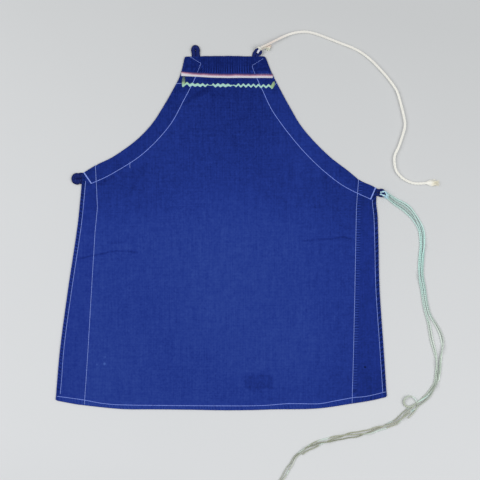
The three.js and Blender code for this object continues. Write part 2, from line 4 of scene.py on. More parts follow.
import bmesh
import bpy
import numpy as np
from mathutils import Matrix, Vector


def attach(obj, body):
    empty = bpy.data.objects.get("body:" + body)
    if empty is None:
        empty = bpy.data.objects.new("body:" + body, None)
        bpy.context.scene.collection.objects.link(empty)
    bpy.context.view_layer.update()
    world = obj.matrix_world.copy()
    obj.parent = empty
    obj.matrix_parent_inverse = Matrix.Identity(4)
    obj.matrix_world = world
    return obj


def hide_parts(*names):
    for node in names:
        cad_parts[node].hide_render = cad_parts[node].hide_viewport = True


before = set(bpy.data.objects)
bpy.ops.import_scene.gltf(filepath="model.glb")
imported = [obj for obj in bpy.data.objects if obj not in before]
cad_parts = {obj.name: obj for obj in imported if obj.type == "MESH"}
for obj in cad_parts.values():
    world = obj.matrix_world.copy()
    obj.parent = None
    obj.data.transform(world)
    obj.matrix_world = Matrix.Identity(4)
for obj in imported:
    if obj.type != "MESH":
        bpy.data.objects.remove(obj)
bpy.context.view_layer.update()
scene = bpy.context.scene
scene.view_settings.view_transform = "Standard"
MM = 0.001
FULL_TURN = 2 * math.pi
SIDES = ("left", "right")
INWARD = {"left": 1, "right": -1}

# Layers of the cloth: its thickness, and heights above the floor
CLOTH = 1.0
RAISED = 0.3
FACING_TOP = 1.1
LIFTED = 1.3
HEM_TOP = 2.3

# Depth of the side hems and of their stitches, and how far a facing passes its stitches and clears the edge
HEM = 8.0
STITCH_IN = 7.6
FACING_TURN = 1.5
FACING_INSET = 0.6

# Heights across the neck, and the low crown of its top edge
NECK_TOP = 341.8
NECK_FACING_LOW = 274.5
NECK_ROWS_FROM = 306.0
NECK_MIDDLE = 13.0
NECK_REACH = 45.0
NECK_CROWN = 1.0

# Length of a stitch, radius of the threads and thickness of the two cords
PITCH = 3.3
HEAVY_THREAD = 0.6
FINE_THREAD = 0.46
NECK_THREAD = 0.35
WAIST_THREAD = 0.75
UNDER_THREAD = 0.22
NECK_CORD = 5.5
TIE_YARN = 2.8

# Radius of a ply as a share of its cord's radius, by the number of plies
PLY_SHARE = {2: 0.53, 3: 0.45}

# Edges, seams and stitch lines of the cloth, each a line through a few places
LEFT_ARMHOLE = [
    (-277.5, 108), (-250, 125), (-215, 142.2), (-170.5, 174), (-139.5, 206), (-118.1, 238),
    (-94.5, 279), (-81.5, 306), (-73, NECK_TOP),
]
RIGHT_ARMHOLE = [
    (311.5, 78), (300.5, 84), (288, 89.2), (277, 94.6), (264, 104.6), (252, 114.7), (236.5, 126.3),
    (216.5, 142), (183.9, 174), (157.5, 206), (138.7, 238), (121, 270), (101, 309), (88.5, NECK_TOP),
]
LEFT_SIDE = [(-331, -345.6), (-322.5, -245), (-306.5, -125), (-288.5, -5), (-281.5, 60), (-277.5, 108)]
RIGHT_SIDE = [
    (331, -338.6), (324.8, -245), (316.7, -125), (314.6, -40), (312.8, 20), (309.8, 50), (311.5, 78),
]
LOWEST = -365.4
BOTTOM = [
    (-331, -345.6), (-302, -351.2), (-274, -355.4), (-200, -362.8), (-133.5, -363.5), (-60, -364.3),
    (0, LOWEST), (60, -365), (106, -363.6), (190, -362), (262, -352), (298, -346.2), (331, -338.6),
]
BOTTOM_STITCH = [
    (-331, -336.9), (-275, -344.6), (-236, -351.6), (-183, -354.8), (0, -356.4), (80, -355.8),
    (135, -352), (193, -352.2), (227, -346.6), (262, -340.2), (291, -337.2), (331, -327.8),
]
LEFT_SEAM = [(-274, -360), (-266.6, -250), (-259.6, -130), (-252.3, -10), (-247.4, 40), (-251.5, 125)]
RIGHT_SEAM = [(261.3, -360), (264.4, -250), (267, -130), (269.3, -10), (270.2, 40), (274.5, 96.5)]
LEFT_FACING = [(-259.5, 88), (-219, 107), (-157, 147), (-104.5, 202), (-74.5, 255), (-54, 295), (-40.5, 328)]
RIGHT_FACING = [
    (298.5, 56.5), (236, 88.5), (169.5, 147), (108.5, 223.5), (81.7, 276), (66.5, 309), (61.5, 323.5),
]
FACING_ENDS = {"left": ((-274.5, 110), (-62.5, 341.2)), "right": ((308.5, 79.8), (84, 337.5))}
TAPE_LINE = [(-80, 307), (-42, 305.1), (-10, 303.2), (21, 302.9), (53, 303.1), (103, 302.9)]
BRAID_LINE = [(-77, 286), (-42, 284.5), (-10, 284.1), (60, 283.4), (90, 282.1), (106, 284)]

# Creases of the cloth: places along each one, how wide it is and how much painted shade darkens it
CREASES = [
    ([(-285.5, -62.8), (-248, -54.5), (-210.5, -47), (-168.5, -49.5)], 1.8, 0.12),
    ([(-273, -49.5), (-260.5, -49.5)], 1.8, 0.06),
    ([(-225.5, -32), (-200.5, -29.5)], 3, 0.06),
    ([(-250.5, -92), (-218, -87)], 2.2, 0.05),
    ([(162.5, -26.5), (217.5, -22.8), (242.5, -19.6), (259.5, -22.8)], 1.8, 0.11),
    ([(237.5, 3.5), (257.5, -1.5)], 3, 0.06),
    ([(-70, 250.5), (-50, 263), (-25, 278)], 5, 0.08),
    ([(-20, 265.5), (5, 263)], 4.5, 0.06),
    ([(-245, 85), (-220, 100)], 5, 0.07),
    ([(-152.5, 127.5), (-165, 102.5), (-182.5, 70)], 5, 0.05),
]
CREASED_BAND = (-96, -14)

# Routes of the two cords on the floor, and how far they lie clear of it
NECK_ROUTE = [
    (101, 369.2), (119, 378.4), (142, 387.7), (165, 391), (185, 388), (211, 379), (236, 369), (262, 359),
    (282, 348), (302, 332), (323, 310), (338, 292), (351, 272), (359, 246), (365, 221), (367, 203),
    (362, 183), (354, 160), (347, 145), (346, 129), (351, 111), (366, 96), (387, 88), (413, 89),
]
TIE_ROUTE = [
    (330, 64.8), (337, 60), (348.2, 51.6), (364, 42.3), (375.4, 32.7), (388.9, 15.6), (399.6, -5),
    (402.2, -33), (399.9, -63), (398.9, -94), (403.8, -124), (407.6, -150), (413.2, -173.6),
    (423.4, -198.5), (431.6, -227), (434, -255), (433.6, -283), (429.2, -309), (421, -325),
    (410, -339.2), (392, -353.3), (371.9, -368.2), (352.1, -386.2), (333.2, -396.1), (304.5, -405.3),
    (277.3, -412.2), (247.3, -416.8), (217.2, -423.8), (189.3, -433.7), (166.3, -445.4), (149.2, -458.2),
    (139, -475), (128.2, -489.9), (120.5, -503), (113, -514),
]
CORD_CLEAR = 0.15


# Numbers and lines


def linear(value):
    """One screen value from 0 to 255 as the shader's linear value."""
    share = value / 255
    return share / 12.92 if share <= 0.04045 else ((share + 0.055) / 1.055) ** 2.4


def paint(red, green, blue):
    """A screen colour as a shader colour."""
    return (linear(red), linear(green), linear(blue), 1.0)


def mix(first, second, share):
    return first + (second - first) * share


def step(value, low, high):
    """A smooth rise from 0 to 1 between two values."""
    share = np.clip((value - low) / (high - low), 0, 1)
    return share * share * (3 - 2 * share)


def between(value, rise, fall):
    """1 between a smooth rise and a smooth fall, each given by its two values, and 0 outside."""
    return step(value, *rise) - step(value, *fall)


def bell(value, centre, reach):
    """1 at the centre, falling to nothing past the reach."""
    return np.exp(-(((value - centre) / reach) ** 2))


# Swings that make up a slow wander: length of each, and how far the seed shifts it
SWINGS = [(17, 1), (7.3, 2.1), (41, 0.6)]


def wander(value, seed):
    """A slow irregular swing between -1 and 1."""
    return sum(np.sin(value / length + shift * seed) for length, shift in SWINGS) / len(SWINGS)


def smooth_line(rows, steps=10):
    """Points of a smooth line through the rows of a table."""
    knots = np.array(rows, float)
    held = np.vstack([knots[:1], knots, knots[-1:]])
    share = np.linspace(0, 1, steps, endpoint=False)[:, None]
    parts = []
    for before, start, end, after in zip(held, held[1:], held[2:], held[3:]):
        leave = (end - before) / 2
        arrive = (after - start) / 2
        cubic = 2 * start - 2 * end + leave + arrive
        square = -3 * start + 3 * end - 2 * leave - arrive
        parts.append(cubic * share**3 + square * share**2 + leave * share + start)
    return np.vstack([*parts, knots[-1:]])


def travelled(line):
    """Distance along a line at each of its points."""
    return np.concatenate([[0], np.cumsum(np.linalg.norm(np.diff(line, axis=0), axis=1))])


def at_distance(line, distance):
    """Places at the given distances along a line."""
    gone = travelled(line)
    return np.column_stack([np.interp(distance, gone, line[:, axis]) for axis in range(line.shape[1])])


def even_points(line, spacing):
    total = travelled(line)[-1]
    return at_distance(line, np.linspace(0, total, max(int(round(total / spacing)), 2) + 1))


def heading(line):
    """The way a line goes at each of its points."""
    run = np.gradient(line, axis=0)
    return run / np.linalg.norm(run, axis=1)[:, None]


def offset_line(line, distance):
    """The same line moved to the right of its travel."""
    run = heading(line)
    return line + distance * np.column_stack([run[:, 1], -run[:, 0]])


def stretch(line, low, high, axis=1):
    """The points of a line between two heights, or with axis 0 between two places across."""
    return line[(line[:, axis] > low) & (line[:, axis] < high)]


def x_at(line, y):
    return np.interp(y, line[:, 1], line[:, 0])


def y_at(line, x):
    return np.interp(x, line[:, 0], line[:, 1])


def nearest(line, x, y):
    """Distance of each place from a line."""
    best = np.full(np.shape(x), np.inf)
    for (ax, ay), (bx, by) in zip(line[:-1], line[1:]):
        run = max((bx - ax) ** 2 + (by - ay) ** 2, 1e-9)
        share = np.clip(((x - ax) * (bx - ax) + (y - ay) * (by - ay)) / run, 0, 1)
        best = np.minimum(best, np.hypot(x - ax - share * (bx - ax), y - ay - share * (by - ay)))
    return best


def inside(outline, x, y):
    """True for each place inside a closed outline."""
    within = np.zeros(np.shape(x), bool)
    for (ax, ay), (bx, by) in zip(outline, np.roll(outline, -1, axis=0)):
        if ay != by:
            within ^= ((ay > y) != (by > y)) & (x < ax + (y - ay) / (by - ay) * (bx - ax))
    return within


armhole = {"left": smooth_line(LEFT_ARMHOLE), "right": smooth_line(RIGHT_ARMHOLE)}
side_edge = {"left": smooth_line(LEFT_SIDE), "right": smooth_line(RIGHT_SIDE)}
bottom_edge = smooth_line(BOTTOM)
bottom_stitch = smooth_line(BOTTOM_STITCH)
seam = {"left": np.array(LEFT_SEAM, float), "right": np.array(RIGHT_SEAM, float)}
facing_stitch = {"left": smooth_line(LEFT_FACING), "right": smooth_line(RIGHT_FACING)}
tape_line = smooth_line(TAPE_LINE)
braid_line = smooth_line(BRAID_LINE)
creases = [(smooth_line(places, 4), width, depth) for places, width, depth in CREASES]
facing_rim = {}
for side, (waist_end, neck_end) in FACING_ENDS.items():
    facing_rim[side] = np.vstack([waist_end, facing_stitch[side], neck_end])
outline = np.vstack(
    [side_edge["left"], armhole["left"], armhole["right"][::-1], side_edge["right"][::-1], bottom_edge[::-1]]
)


# Relief and tone of the cloth

# How the cloth rises over the rim of a facing and of the neck's facing, by the distance past it
FACING_SLOPE = (-2.5, 2)
NECK_SLOPE = (-4, 0.5)

# Where the hem's fold ends and where its puckers rise and fall, by the distance from the edge, and then
# the puckers' height, how far they stray along the hem and how much they change
HEM_FALL = (6.6, 9.4)
PUCKER_RISE = (0.3, 2)
PUCKER_FALL = (6, 7.5)
PUCKER_HIGH = 0.42
PUCKER_STRAY = 2.4
PUCKER_CHANGE = 0.35
# Puckers of each hem: their period and slant, the painted light and shade on their ridges and hollows, and
# how dark they lie
BOTTOM_PUCKERS = dict(period=6.2, slant=0.28, shade=0.12, dark=0.01)
LEFT_PUCKERS = dict(period=6.8, slant=0.45, shade=0.2, dark=-0.13)
RIGHT_PUCKERS = dict(period=9.5, slant=0.45, shade=0.2, dark=-0.13)

# Broad waves of the loose cloth, which begin inside the hem, the painted light and shade on their crests and
# troughs, and the lift that the hem gives its neighbour
LOOSE_FROM = (8, 60)
WAVE_ACROSS = 47
WAVE_UP = 61
WAVE_ASLANT = 71
WAVE_BEND = 83
WAVE_HIGH = 0.14
WAVE_PAINTED_SHADING = 0.012
HEM_LIFT = 0.5
HEM_LIFT_REACH = 7

# Turned edges beside a seam, and the comb of threads on the right one, by the distance from the seam
SEAM_BAND = ((0.6, 1.8), (7, 10))
SEAM_HIGH = 0.28
COMB_BAND = ((0.5, 1.6), (6.5, 10.5))
COMB_PERIOD = 5.2
COMB_STRAY = 1.2
COMB_CHANGE = 0.4
COMB_HIGH = 0.24
# Grooves along the stitches
GROOVE_WIDE = 0.9
HEM_GROOVE_WIDE = 0.8
GROOVE_DEEP = 0.2

# Upright creases above the tape, which fade towards the neck's edge and over the facings
GATHER_RISE = (306, 312)
GATHER_FALL = (311, 328)
GATHER_FADES = 0.8
GATHER_FACED = 0.6
GATHER_PERIOD = 4.7
GATHER_HIGH = 0.25
# Depth of the folded creases, for each step of painted shade that darkens the cloth in them
CREASE_DEEP = 2

# Radius of the cloth's turned edge and how far it turns down
EDGE_ROUND = 1.4
EDGE_DOWN = 0.9

# Tone of the cloth, and how it changes over the facings from the left to the right
TONE = 0.57
FACED_TONE = (-0.025, 0.02)
FACED_FROM = (-60, 120)
# Slow changes of tone: along which axis, from where to where, and how much
TONE_SLOPES = [
    ("y", -40, 140, -0.12), ("y", 140, 300, -0.05), ("x", 150, 262, -0.055), ("x", 262, 272, -0.03),
]
# Soft spots: place, reach and how much paler or darker
TONE_SPOTS = [(160, 125, 45, 0.045), (-210, 60, 70, -0.03)]
# Bands of painted shade across the neck, just below the tape and below the braid: where each begins and ends,
# and how much darker
PAINTED_SHADE_BANDS = [((286, 290), (298, 304), -0.055), ((262, 276), (280, 284), -0.03)]
# The darker lower field towards the right
LOWER_FROM = (-240, -350)
LOWER_ACROSS = (-150, 50)
LOWER_TONE = -0.04
# The dark patch above the bottom hem
PATCH_ACROSS = ((44, 50), (98, 106))
PATCH_UP = ((-327, -320), (-296, -289))
PATCH_TONE = -0.09
# Painted light and shade on the comb's ridges and hollows and how much paler it is on both, painted light and
# shade on the gathered creases, and the tone of the cloth above the tape
COMB_PAINTED_SHADING = 0.3
COMB_PALER = 0.08
GATHER_PAINTED_SHADING = 0.2
NECK_TONE = -0.085


def hem_depth(x):
    """How much deeper the bottom hem is than the hems at the sides."""
    return (y_at(bottom_stitch, x) - y_at(bottom_edge, x)) / STITCH_IN


def from_hems(x, y):
    """Distance from the nearer side edge, and from the bottom edge in depths of a side hem."""
    left = np.where(y < LEFT_SIDE[-1][1], x - x_at(side_edge["left"], y), np.inf)
    right = np.where(y < RIGHT_SIDE[-1][1], x_at(side_edge["right"], y) - x, np.inf)
    return np.minimum(left, right), (y - y_at(bottom_edge, x)) / hem_depth(x)


def faced_share(x, y):
    """1 where an armhole facing lies under the cloth, and 0 clear of it."""
    faced = np.zeros(np.shape(x))
    for side, rim in facing_rim.items():
        within = inside(np.vstack([rim, armhole[side][::-1]]), x, y)
        past = nearest(rim, x, y) * np.where(within, 1, -1)
        faced = np.maximum(faced, step(past, *FACING_SLOPE))
    return faced


def past_seam(side, x, y):
    """Distance from a seam, and the same counted from the seam towards the side edge."""
    gap = nearest(seam[side], x, y)
    return gap, gap * np.sign((x_at(seam[side], y) - x) * INWARD[side])


def broad_waves(x, y):
    """Broad, shallow waves that cross each other, between -2 and 2."""
    crossing = np.sin(x / WAVE_ACROSS + 1.3 * np.sin(y / WAVE_BEND)) * np.sin(y / WAVE_UP + 0.7)
    return crossing + np.sin((x + 0.6 * y) / WAVE_ASLANT + 2)


def gathers(x, y, faced):
    """Upright creases that the tape's stitches pull into the neck."""
    strayed = x + 0.9 * wander(y, seed=3) + 1.6 * wander(x * 1.5, seed=6)
    kept = (1 - GATHER_FADES * step(y, *GATHER_FALL)) * (1 - GATHER_FACED * faced)
    return np.sin(FULL_TURN * strayed / GATHER_PERIOD) * step(y, *GATHER_RISE) * kept


def field_tone(x, y):
    """Slow changes of the cloth's tone over the whole apron, with bands of painted shade below the neck's
    tape and braid.
    """
    tone = np.full(np.shape(x), TONE)
    for axis, start, full, amount in TONE_SLOPES:
        tone += amount * step(x if axis == "x" else y, start, full)
    for middle_x, middle_y, reach, amount in TONE_SPOTS:
        tone += amount * bell(x, middle_x, reach) * bell(y, middle_y, reach)
    for rise, fall, amount in PAINTED_SHADE_BANDS:
        tone += amount * between(y, rise, fall)
    tone += LOWER_TONE * step(y, *LOWER_FROM) * step(x, *LOWER_ACROSS)
    return tone + PATCH_TONE * between(x, *PATCH_ACROSS) * between(y, *PATCH_UP)


def cloth_layers(x, y):
    """Heights of the cloth's under and upper faces and its tone, from dark to faded, at each place, with
    painted light and shade on its folds.
    """
    sides, above = from_hems(x, y)
    reach = np.minimum(sides, above)
    faced = faced_share(x, y)
    lift = np.maximum(step(y - NECK_FACING_LOW, *NECK_SLOPE), faced)

    # The hem is folded under and pulled into slanting puckers by its stitches
    def by_hem(value):
        return np.where(
            above < sides, BOTTOM_PUCKERS[value], np.where(x < 0, LEFT_PUCKERS[value], RIGHT_PUCKERS[value])
        )

    hem = (1 - step(reach, *HEM_FALL)) * (1 - faced)
    along = np.where(above < sides, x, y)
    turns = (along + PUCKER_STRAY * wander(along, seed=1.7)) / by_hem("period")
    tick = np.sin(FULL_TURN * turns + by_hem("slant") * reach)
    held = hem * between(reach, PUCKER_RISE, PUCKER_FALL)
    pucker = held * tick * (1 - PUCKER_CHANGE + PUCKER_CHANGE * wander(along * 1.3, seed=4.2))

    # Broad, shallow waves where the cloth lies loose
    loose = (1 - lift) * step(reach, *LOOSE_FROM)
    waves = broad_waves(x, y)
    under = mix(RAISED + WAVE_HIGH * (waves + 2) * loose, LIFTED, lift)
    under = under + HEM_LIFT * np.exp(-np.maximum(reach - HEM, 0) / HEM_LIFT_REACH) * (1 - lift)
    upper = mix(under + CLOTH, HEM_TOP + PUCKER_HIGH * pucker, hem)
    under = np.where((reach < HEM) & (faced < 0.5), RAISED, under)

    # Seams: a groove at the stitches, and turned edges that make a low band beside them
    groove = bell(reach, STITCH_IN, HEM_GROOVE_WIDE) * (1 - faced)
    for side in SIDES:
        gap, beyond = past_seam(side, x, y)
        upper = upper + SEAM_HIGH * between(beyond, *SEAM_BAND) * (1 - hem)
        for distance in (gap, nearest(facing_rim[side], x, y)):
            groove = np.maximum(groove, bell(distance, 0, GROOVE_WIDE))
    teeth = np.sin(FULL_TURN * (y + COMB_STRAY * wander(y, seed=2.2)) / COMB_PERIOD)
    teeth = teeth * (1 - COMB_CHANGE + COMB_CHANGE * wander(y * 1.7, seed=5))
    comb = teeth * between(past_seam("right", x, y)[1], *COMB_BAND) * (1 - hem)
    upper = upper + COMB_HIGH * comb - GROOVE_DEEP * groove

    # Creases above the tape, and those that were folded into the cloth
    gathered = gathers(x, y, faced)
    folded = np.zeros(np.shape(x))
    for line, width, depth in creases:
        folded = np.maximum(folded, depth * bell(nearest(line, x, y), 0, width))
    upper = upper + GATHER_HIGH * gathered - CREASE_DEEP * folded

    # The cloth turns down at its edges
    turned = np.clip(1 - nearest(outline, x, y) / EDGE_ROUND, 0, 1)
    upper = upper - EDGE_DOWN * (1 - np.sqrt(1 - turned**2))

    neck = step(y, *GATHER_RISE)
    # The tone adds painted shade in the creases and painted light and shade on the waves, puckers, comb and
    # gathers to the cloth's own tone
    tone = field_tone(x, y) + WAVE_PAINTED_SHADING * waves * loose - folded
    tone = tone + faced * (1 - neck) * mix(*FACED_TONE, step(x, *FACED_FROM))
    tone = tone + by_hem("shade") * pucker + by_hem("dark") * held
    tone = tone + COMB_PAINTED_SHADING * comb + COMB_PALER * np.abs(comb)
    tone = tone + NECK_TONE * neck + GATHER_PAINTED_SHADING * gathered
    return under, upper, np.clip(tone, 0, 1)


# Making of the pieces


def finished(name, mesh, material, slot, *nodes):
    """A piece of the apron that rides on its only body and stands for the given nodes."""
    mesh.shade_smooth()
    piece = bpy.data.objects.new(name, mesh)
    scene.collection.objects.link(piece)
    mesh.materials.clear()
    mesh.materials.append(material)
    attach(piece, "root")
    if nodes:
        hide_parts(*nodes)
    return piece


def places_of(mesh):
    """The places of a mesh's points, one in each row."""
    places = np.empty(len(mesh.vertices) * 3)
    mesh.vertices.foreach_get("co", places)
    return places.reshape(-1, 3)


def set_places(mesh, places, tone):
    """Moves a mesh's points to the given places and notes the tone at each."""
    mesh.vertices.foreach_set("co", (places * MM).ravel())
    mesh.attributes.new("tone", "FLOAT", "POINT").data.foreach_set("value", tone)
    mesh.update()


def slab(name, columns, rows, place):
    """A closed sheet: a grid with an under and an upper face, each point moved to its place on the apron."""
    bm = bmesh.new()
    bm.loops.layers.uv.new("grid")
    bmesh.ops.create_grid(bm, x_segments=columns, y_segments=rows, size=0.5, calc_uvs=True)
    bmesh.ops.translate(bm, verts=bm.verts, vec=(0.5, 0.5, 0))
    upper = bmesh.ops.extrude_face_region(bm, geom=bm.faces[:])["geom"]
    points = [part for part in upper if isinstance(part, bmesh.types.BMVert)]
    bmesh.ops.translate(bm, verts=points, vec=(0, 0, 1))
    bmesh.ops.recalc_face_normals(bm, faces=bm.faces)
    mesh = bpy.data.meshes.new(name)
    bm.to_mesh(mesh)
    bm.free()
    u, v, height = places_of(mesh).T
    set_places(mesh, *place(u, v, height > 0.5))
    return mesh


def strands(name, lines, sides):
    """One mesh of many round strands, each a line of places with a radius at each place."""
    curve = bpy.data.curves.new(name, "CURVE")
    curve.dimensions = "3D"
    curve.bevel_depth = MM
    curve.bevel_resolution = sides // 2 - 2
    curve.use_fill_caps = True
    for line, radius in lines:
        spline = curve.splines.new("POLY")
        spline.points.add(len(line) - 1)
        spline.points.foreach_set("co", np.column_stack([line * MM, np.ones(len(line))]).ravel())
        spline.points.foreach_set("radius", np.broadcast_to(radius, len(line)).astype(float))
    holder = bpy.data.objects.new(name + "_line", curve)
    scene.collection.objects.link(holder)
    mesh = bpy.data.meshes.new_from_object(holder.evaluated_get(bpy.context.evaluated_depsgraph_get()))
    bpy.data.objects.remove(holder)
    bpy.data.curves.remove(curve)
    mesh.name = name
    return mesh


def sheet_piece(name, grid, place, material, slot, *nodes):
    """A piece made of one closed sheet, with the columns and rows of its grid."""
    return finished(name, slab(name, *grid, place), material, slot, *nodes)


def strand_piece(name, lines, sides, material, slot, *nodes):
    """A piece made of round strands."""
    return finished(name, strands(name, lines, sides), material, slot, *nodes)


def across(path):
    """Two directions square to a path at each of its points, turned as little as they can be."""
    run = heading(path)
    aside = Vector(run[0]).cross(Vector((0, 0, 1))).normalized()
    first = []
    for here, ahead in zip(run, np.vstack([run[1:], run[-1:]])):
        first.append(aside)
        aside = aside.copy()
        aside.rotate(Vector(here).rotation_difference(Vector(ahead)))
    first = np.array([list(vector) for vector in first])
    return first, np.cross(run, first)


def plied(path, plies, thick, pitch, turn=0.0):
    """The plies of a twisted cord of the given thickness round its path."""
    first, second = across(path)
    angle = travelled(path) / pitch * FULL_TURN + turn
    thick = np.broadcast_to(thick, len(path))
    radius = thick / 2 * PLY_SHARE[plies]
    out = (thick / 2 - radius)[:, None]
    lines = []
    for ply in range(plies):
        phase = angle + FULL_TURN * ply / plies
        reach = out * (np.cos(phase)[:, None] * first + np.sin(phase)[:, None] * second)
        lines.append((path + reach, radius))
    return lines


# Shader nodes

# Bands to the metre of a wave texture of scale 1
BANDS = 3.18


def add(tree, kind, settings=(), **inputs):
    """A node with its settings, and each input either a value or a link."""
    made = tree.nodes.new(kind)
    for name, value in dict(settings).items():
        setattr(made, name, value)
    for name, value in inputs.items():
        feed(tree, made.inputs[name.replace("_", " ")], value)
    return made


def feed(tree, socket, value):
    if isinstance(value, bpy.types.NodeSocket):
        tree.links.new(value, socket)
    else:
        socket.default_value = value


def blank(name, roughness, **uniform):
    """A material with its shader, and the object's own coordinates."""
    material = bpy.data.materials.new(name)
    material.use_nodes = True
    tree = material.node_tree
    shader = tree.nodes["Principled BSDF"]
    shader.inputs["Roughness"].default_value = roughness
    shader.inputs["Specular IOR Level"].default_value = 0.2
    for socket, value in uniform.items():
        shader.inputs[socket.replace("_", " ")].default_value = value
    coordinates = tree.nodes.new("ShaderNodeTexCoord").outputs["Object"]
    return material, tree, shader, coordinates


def scaled(tree, vector, scale):
    return add(tree, "ShaderNodeMapping", Vector=vector, Scale=scale).outputs["Vector"]


def parted(tree, vector):
    return add(tree, "ShaderNodeSeparateXYZ", Vector=vector).outputs


def piece_tone(tree):
    return add(tree, "ShaderNodeAttribute", {"attribute_name": "tone"}).outputs["Fac"]


def mottle(tree, vector, scale, detail=3.0):
    return add(tree, "ShaderNodeTexNoise", Vector=vector, Scale=scale, Detail=detail).outputs["Fac"]


def sums(tree, first, second, operation="ADD"):
    node = add(tree, "ShaderNodeMath", {"operation": operation})
    for socket, value in zip(node.inputs, (first, second)):
        feed(tree, socket, value)
    return node.outputs[0]


def varied(tree, value, texture, amount):
    """A value with a texture's swing about its middle added to it."""
    swing = sums(tree, sums(tree, texture, 0.5, "SUBTRACT"), amount, "MULTIPLY")
    return sums(tree, value, swing)


def mottled(tree, value, place, rows):
    """A value made uneven by rows of a stretch along each axis, a scale and an amount."""
    for stretched, scale, amount in rows:
        value = varied(tree, value, mottle(tree, scaled(tree, place, stretched), scale), amount)
    return value


def ranged(tree, value, low, high, most=1.0):
    """How far a value has gone from low to high, as a number up to the most."""
    node = add(tree, "ShaderNodeMapRange", Value=value, From_Min=low, From_Max=high, To_Max=most)
    return node.outputs["Result"]


def coloured(tree, shader, value, stops):
    """Gives a shader its colour from a value, by stops of a value and a screen colour in rising order."""
    node = add(tree, "ShaderNodeValToRGB", Fac=value)
    bands = node.color_ramp.elements
    for band, (place, colour) in zip(bands, (stops[0], stops[-1])):
        band.position = place
        band.color = paint(*colour)
    for place, colour in stops[1:-1]:
        bands.new(place).color = paint(*colour)
    tree.links.new(node.outputs["Color"], shader.inputs["Base Color"])


def bump(tree, shader, height, distance, strength=0.6):
    node = add(tree, "ShaderNodeBump", Height=height, Distance=distance, Strength=strength)
    tree.links.new(node.outputs["Normal"], shader.inputs["Normal"])


def fibres(tree, shader, place, scale):
    """Fine fibres on a cord."""
    bump(tree, shader, mottle(tree, place, scale, 2), distance=0.0003)


def weave(tree, vector, threads):
    """Over and under of a plain weave, with the given threads to the metre."""
    warp, weft = (
        add(tree, "ShaderNodeTexWave", {"bands_direction": way}, Vector=vector, Scale=threads / BANDS)
        for way in ("X", "Y")
    )
    return sums(tree, warp.outputs["Fac"], weft.outputs["Fac"], "MULTIPLY")


# Materials

# Unevenness of each material: stretch along each axis, scale and amount
EVEN = (1, 1, 1)
DYE = [(EVEN, 60, 0.1), (EVEN, 260, 0.26), ((420, 14, 1), 1, 0.2), ((14, 420, 1), 1, 0.13)]
TAPE_PATCHES = [((260, 60, 1), 1, 0.2), ((55, 20, 1), 1, 0.4)]
BRAID_PATCHES = [(EVEN, 110, 0.3)]
CORD_PATCHES = [(EVEN, 60, 0.01)]
TAIL_PATCHES = [(EVEN, 300, 0.3)]
YARN_PATCHES = [(EVEN, 45, 0.1)]
FLOOR_PATCHES = [(EVEN, 3, 0.1)]

# Tones at which a cloth takes its four colours, from dark painted shade in folds to faded threads
CLOTH_TONES = (0.0, 0.28, 0.5, 1.0)
# How much the weave of the cloth and of the braid shades them
WOVEN_SHADE = 0.08
RIB_SHADE = 0.12
# A thread's darker stretches as a share of its colour
THREAD_DARK = 0.86
# Tape from its lower to its upper edge: cream roll, pink middle and a patchy dark rose edge
TAPE_COLOURS = [
    (0.0, (210, 212, 222)),
    (0.3, (214, 209, 219)),
    (0.42, (205, 184, 196)),
    (0.55, (188, 146, 168)),
    (0.7, (132, 88, 118)),
    (0.84, (86, 58, 104)),
    (1.0, (44, 48, 108)),
]
# Where the tape turns whiter towards its left end, and by how much
TAPE_WHITER = (0.14, 0, -0.25)
# Braid from dark olive at its turned ends through mint to pale blue at its lower edge, by tone
BRAID_COLOURS = [
    (0.0, (62, 78, 96)),
    (0.12, (100, 120, 110)),
    (0.28, (158, 188, 140)),
    (0.45, (166, 210, 194)),
    (0.65, (172, 216, 208)),
    (0.82, (182, 218, 224)),
    (1.0, (206, 230, 242)),
]
# Turn of the braid's weave in radians
BRAID_TURN = 0.8
# Cord from the left to the right, as shares of this many metres: bluish white in its loop, then pinker,
# white, and yellower at its frayed end
CORD_SPAN = 0.5
CORD_COLOURS = [
    (0.148, (226, 230, 244)),
    (0.157, (230, 224, 214)),
    (0.2, (236, 226, 218)),
    (0.27, (242, 240, 234)),
    (0.7, (248, 247, 240)),
    (0.838, (248, 247, 240)),
    (0.85, (245, 241, 224)),
    (0.87, (244, 238, 216)),
    (0.9, (242, 234, 208)),
]
# Cord's left over end from tan to pale, between these heights in metres
TAIL_COLOURS = [(0.1, (230, 213, 199)), (0.7, (232, 233, 220))]
TAIL_HEIGHTS = (0.363, 0.355)
# Yarn from the loop, where each has its own colour, through aqua and sage to olive grey, and the heights
# in metres where it begins and ends
YARN_START = 0.03
YARN_COLOURS = [
    (0.07, (192, 216, 211)),
    (0.12, (196, 223, 219)),
    (0.2, (188, 222, 216)),
    (0.34, (190, 214, 208)),
    (0.46, (206, 216, 208)),
    (0.52, (212, 223, 214)),
    (0.6, (190, 203, 192)),
    (0.7, (178, 186, 174)),
    (0.8, (172, 174, 154)),
    (0.86, (158, 164, 142)),
    (0.915, (204, 208, 200)),
    (1.0, (178, 184, 168)),
]
YARN_HEIGHTS = (0.07, -0.52)
# Patches of the yarn's upper colours: range of the texture, how far back they go, and where they begin
YARN_BACK = (0.53, 0.6, 0.4)
YARN_BACK_FROM = (0.6, 0.72)


def speck(tree, place, tone, centre, radius, amount):
    """A small spot on the cloth that is paler or darker than the rest."""
    away = add(tree, "ShaderNodeVectorMath", {"operation": "DISTANCE"}, Vector=scaled(tree, place, (1, 1, 0)))
    away.inputs[1].default_value = (centre[0] * MM, centre[1] * MM, 0)
    near = ranged(tree, away.outputs["Value"], radius * MM, 0)
    return sums(tree, tone, sums(tree, near, amount, "MULTIPLY"))


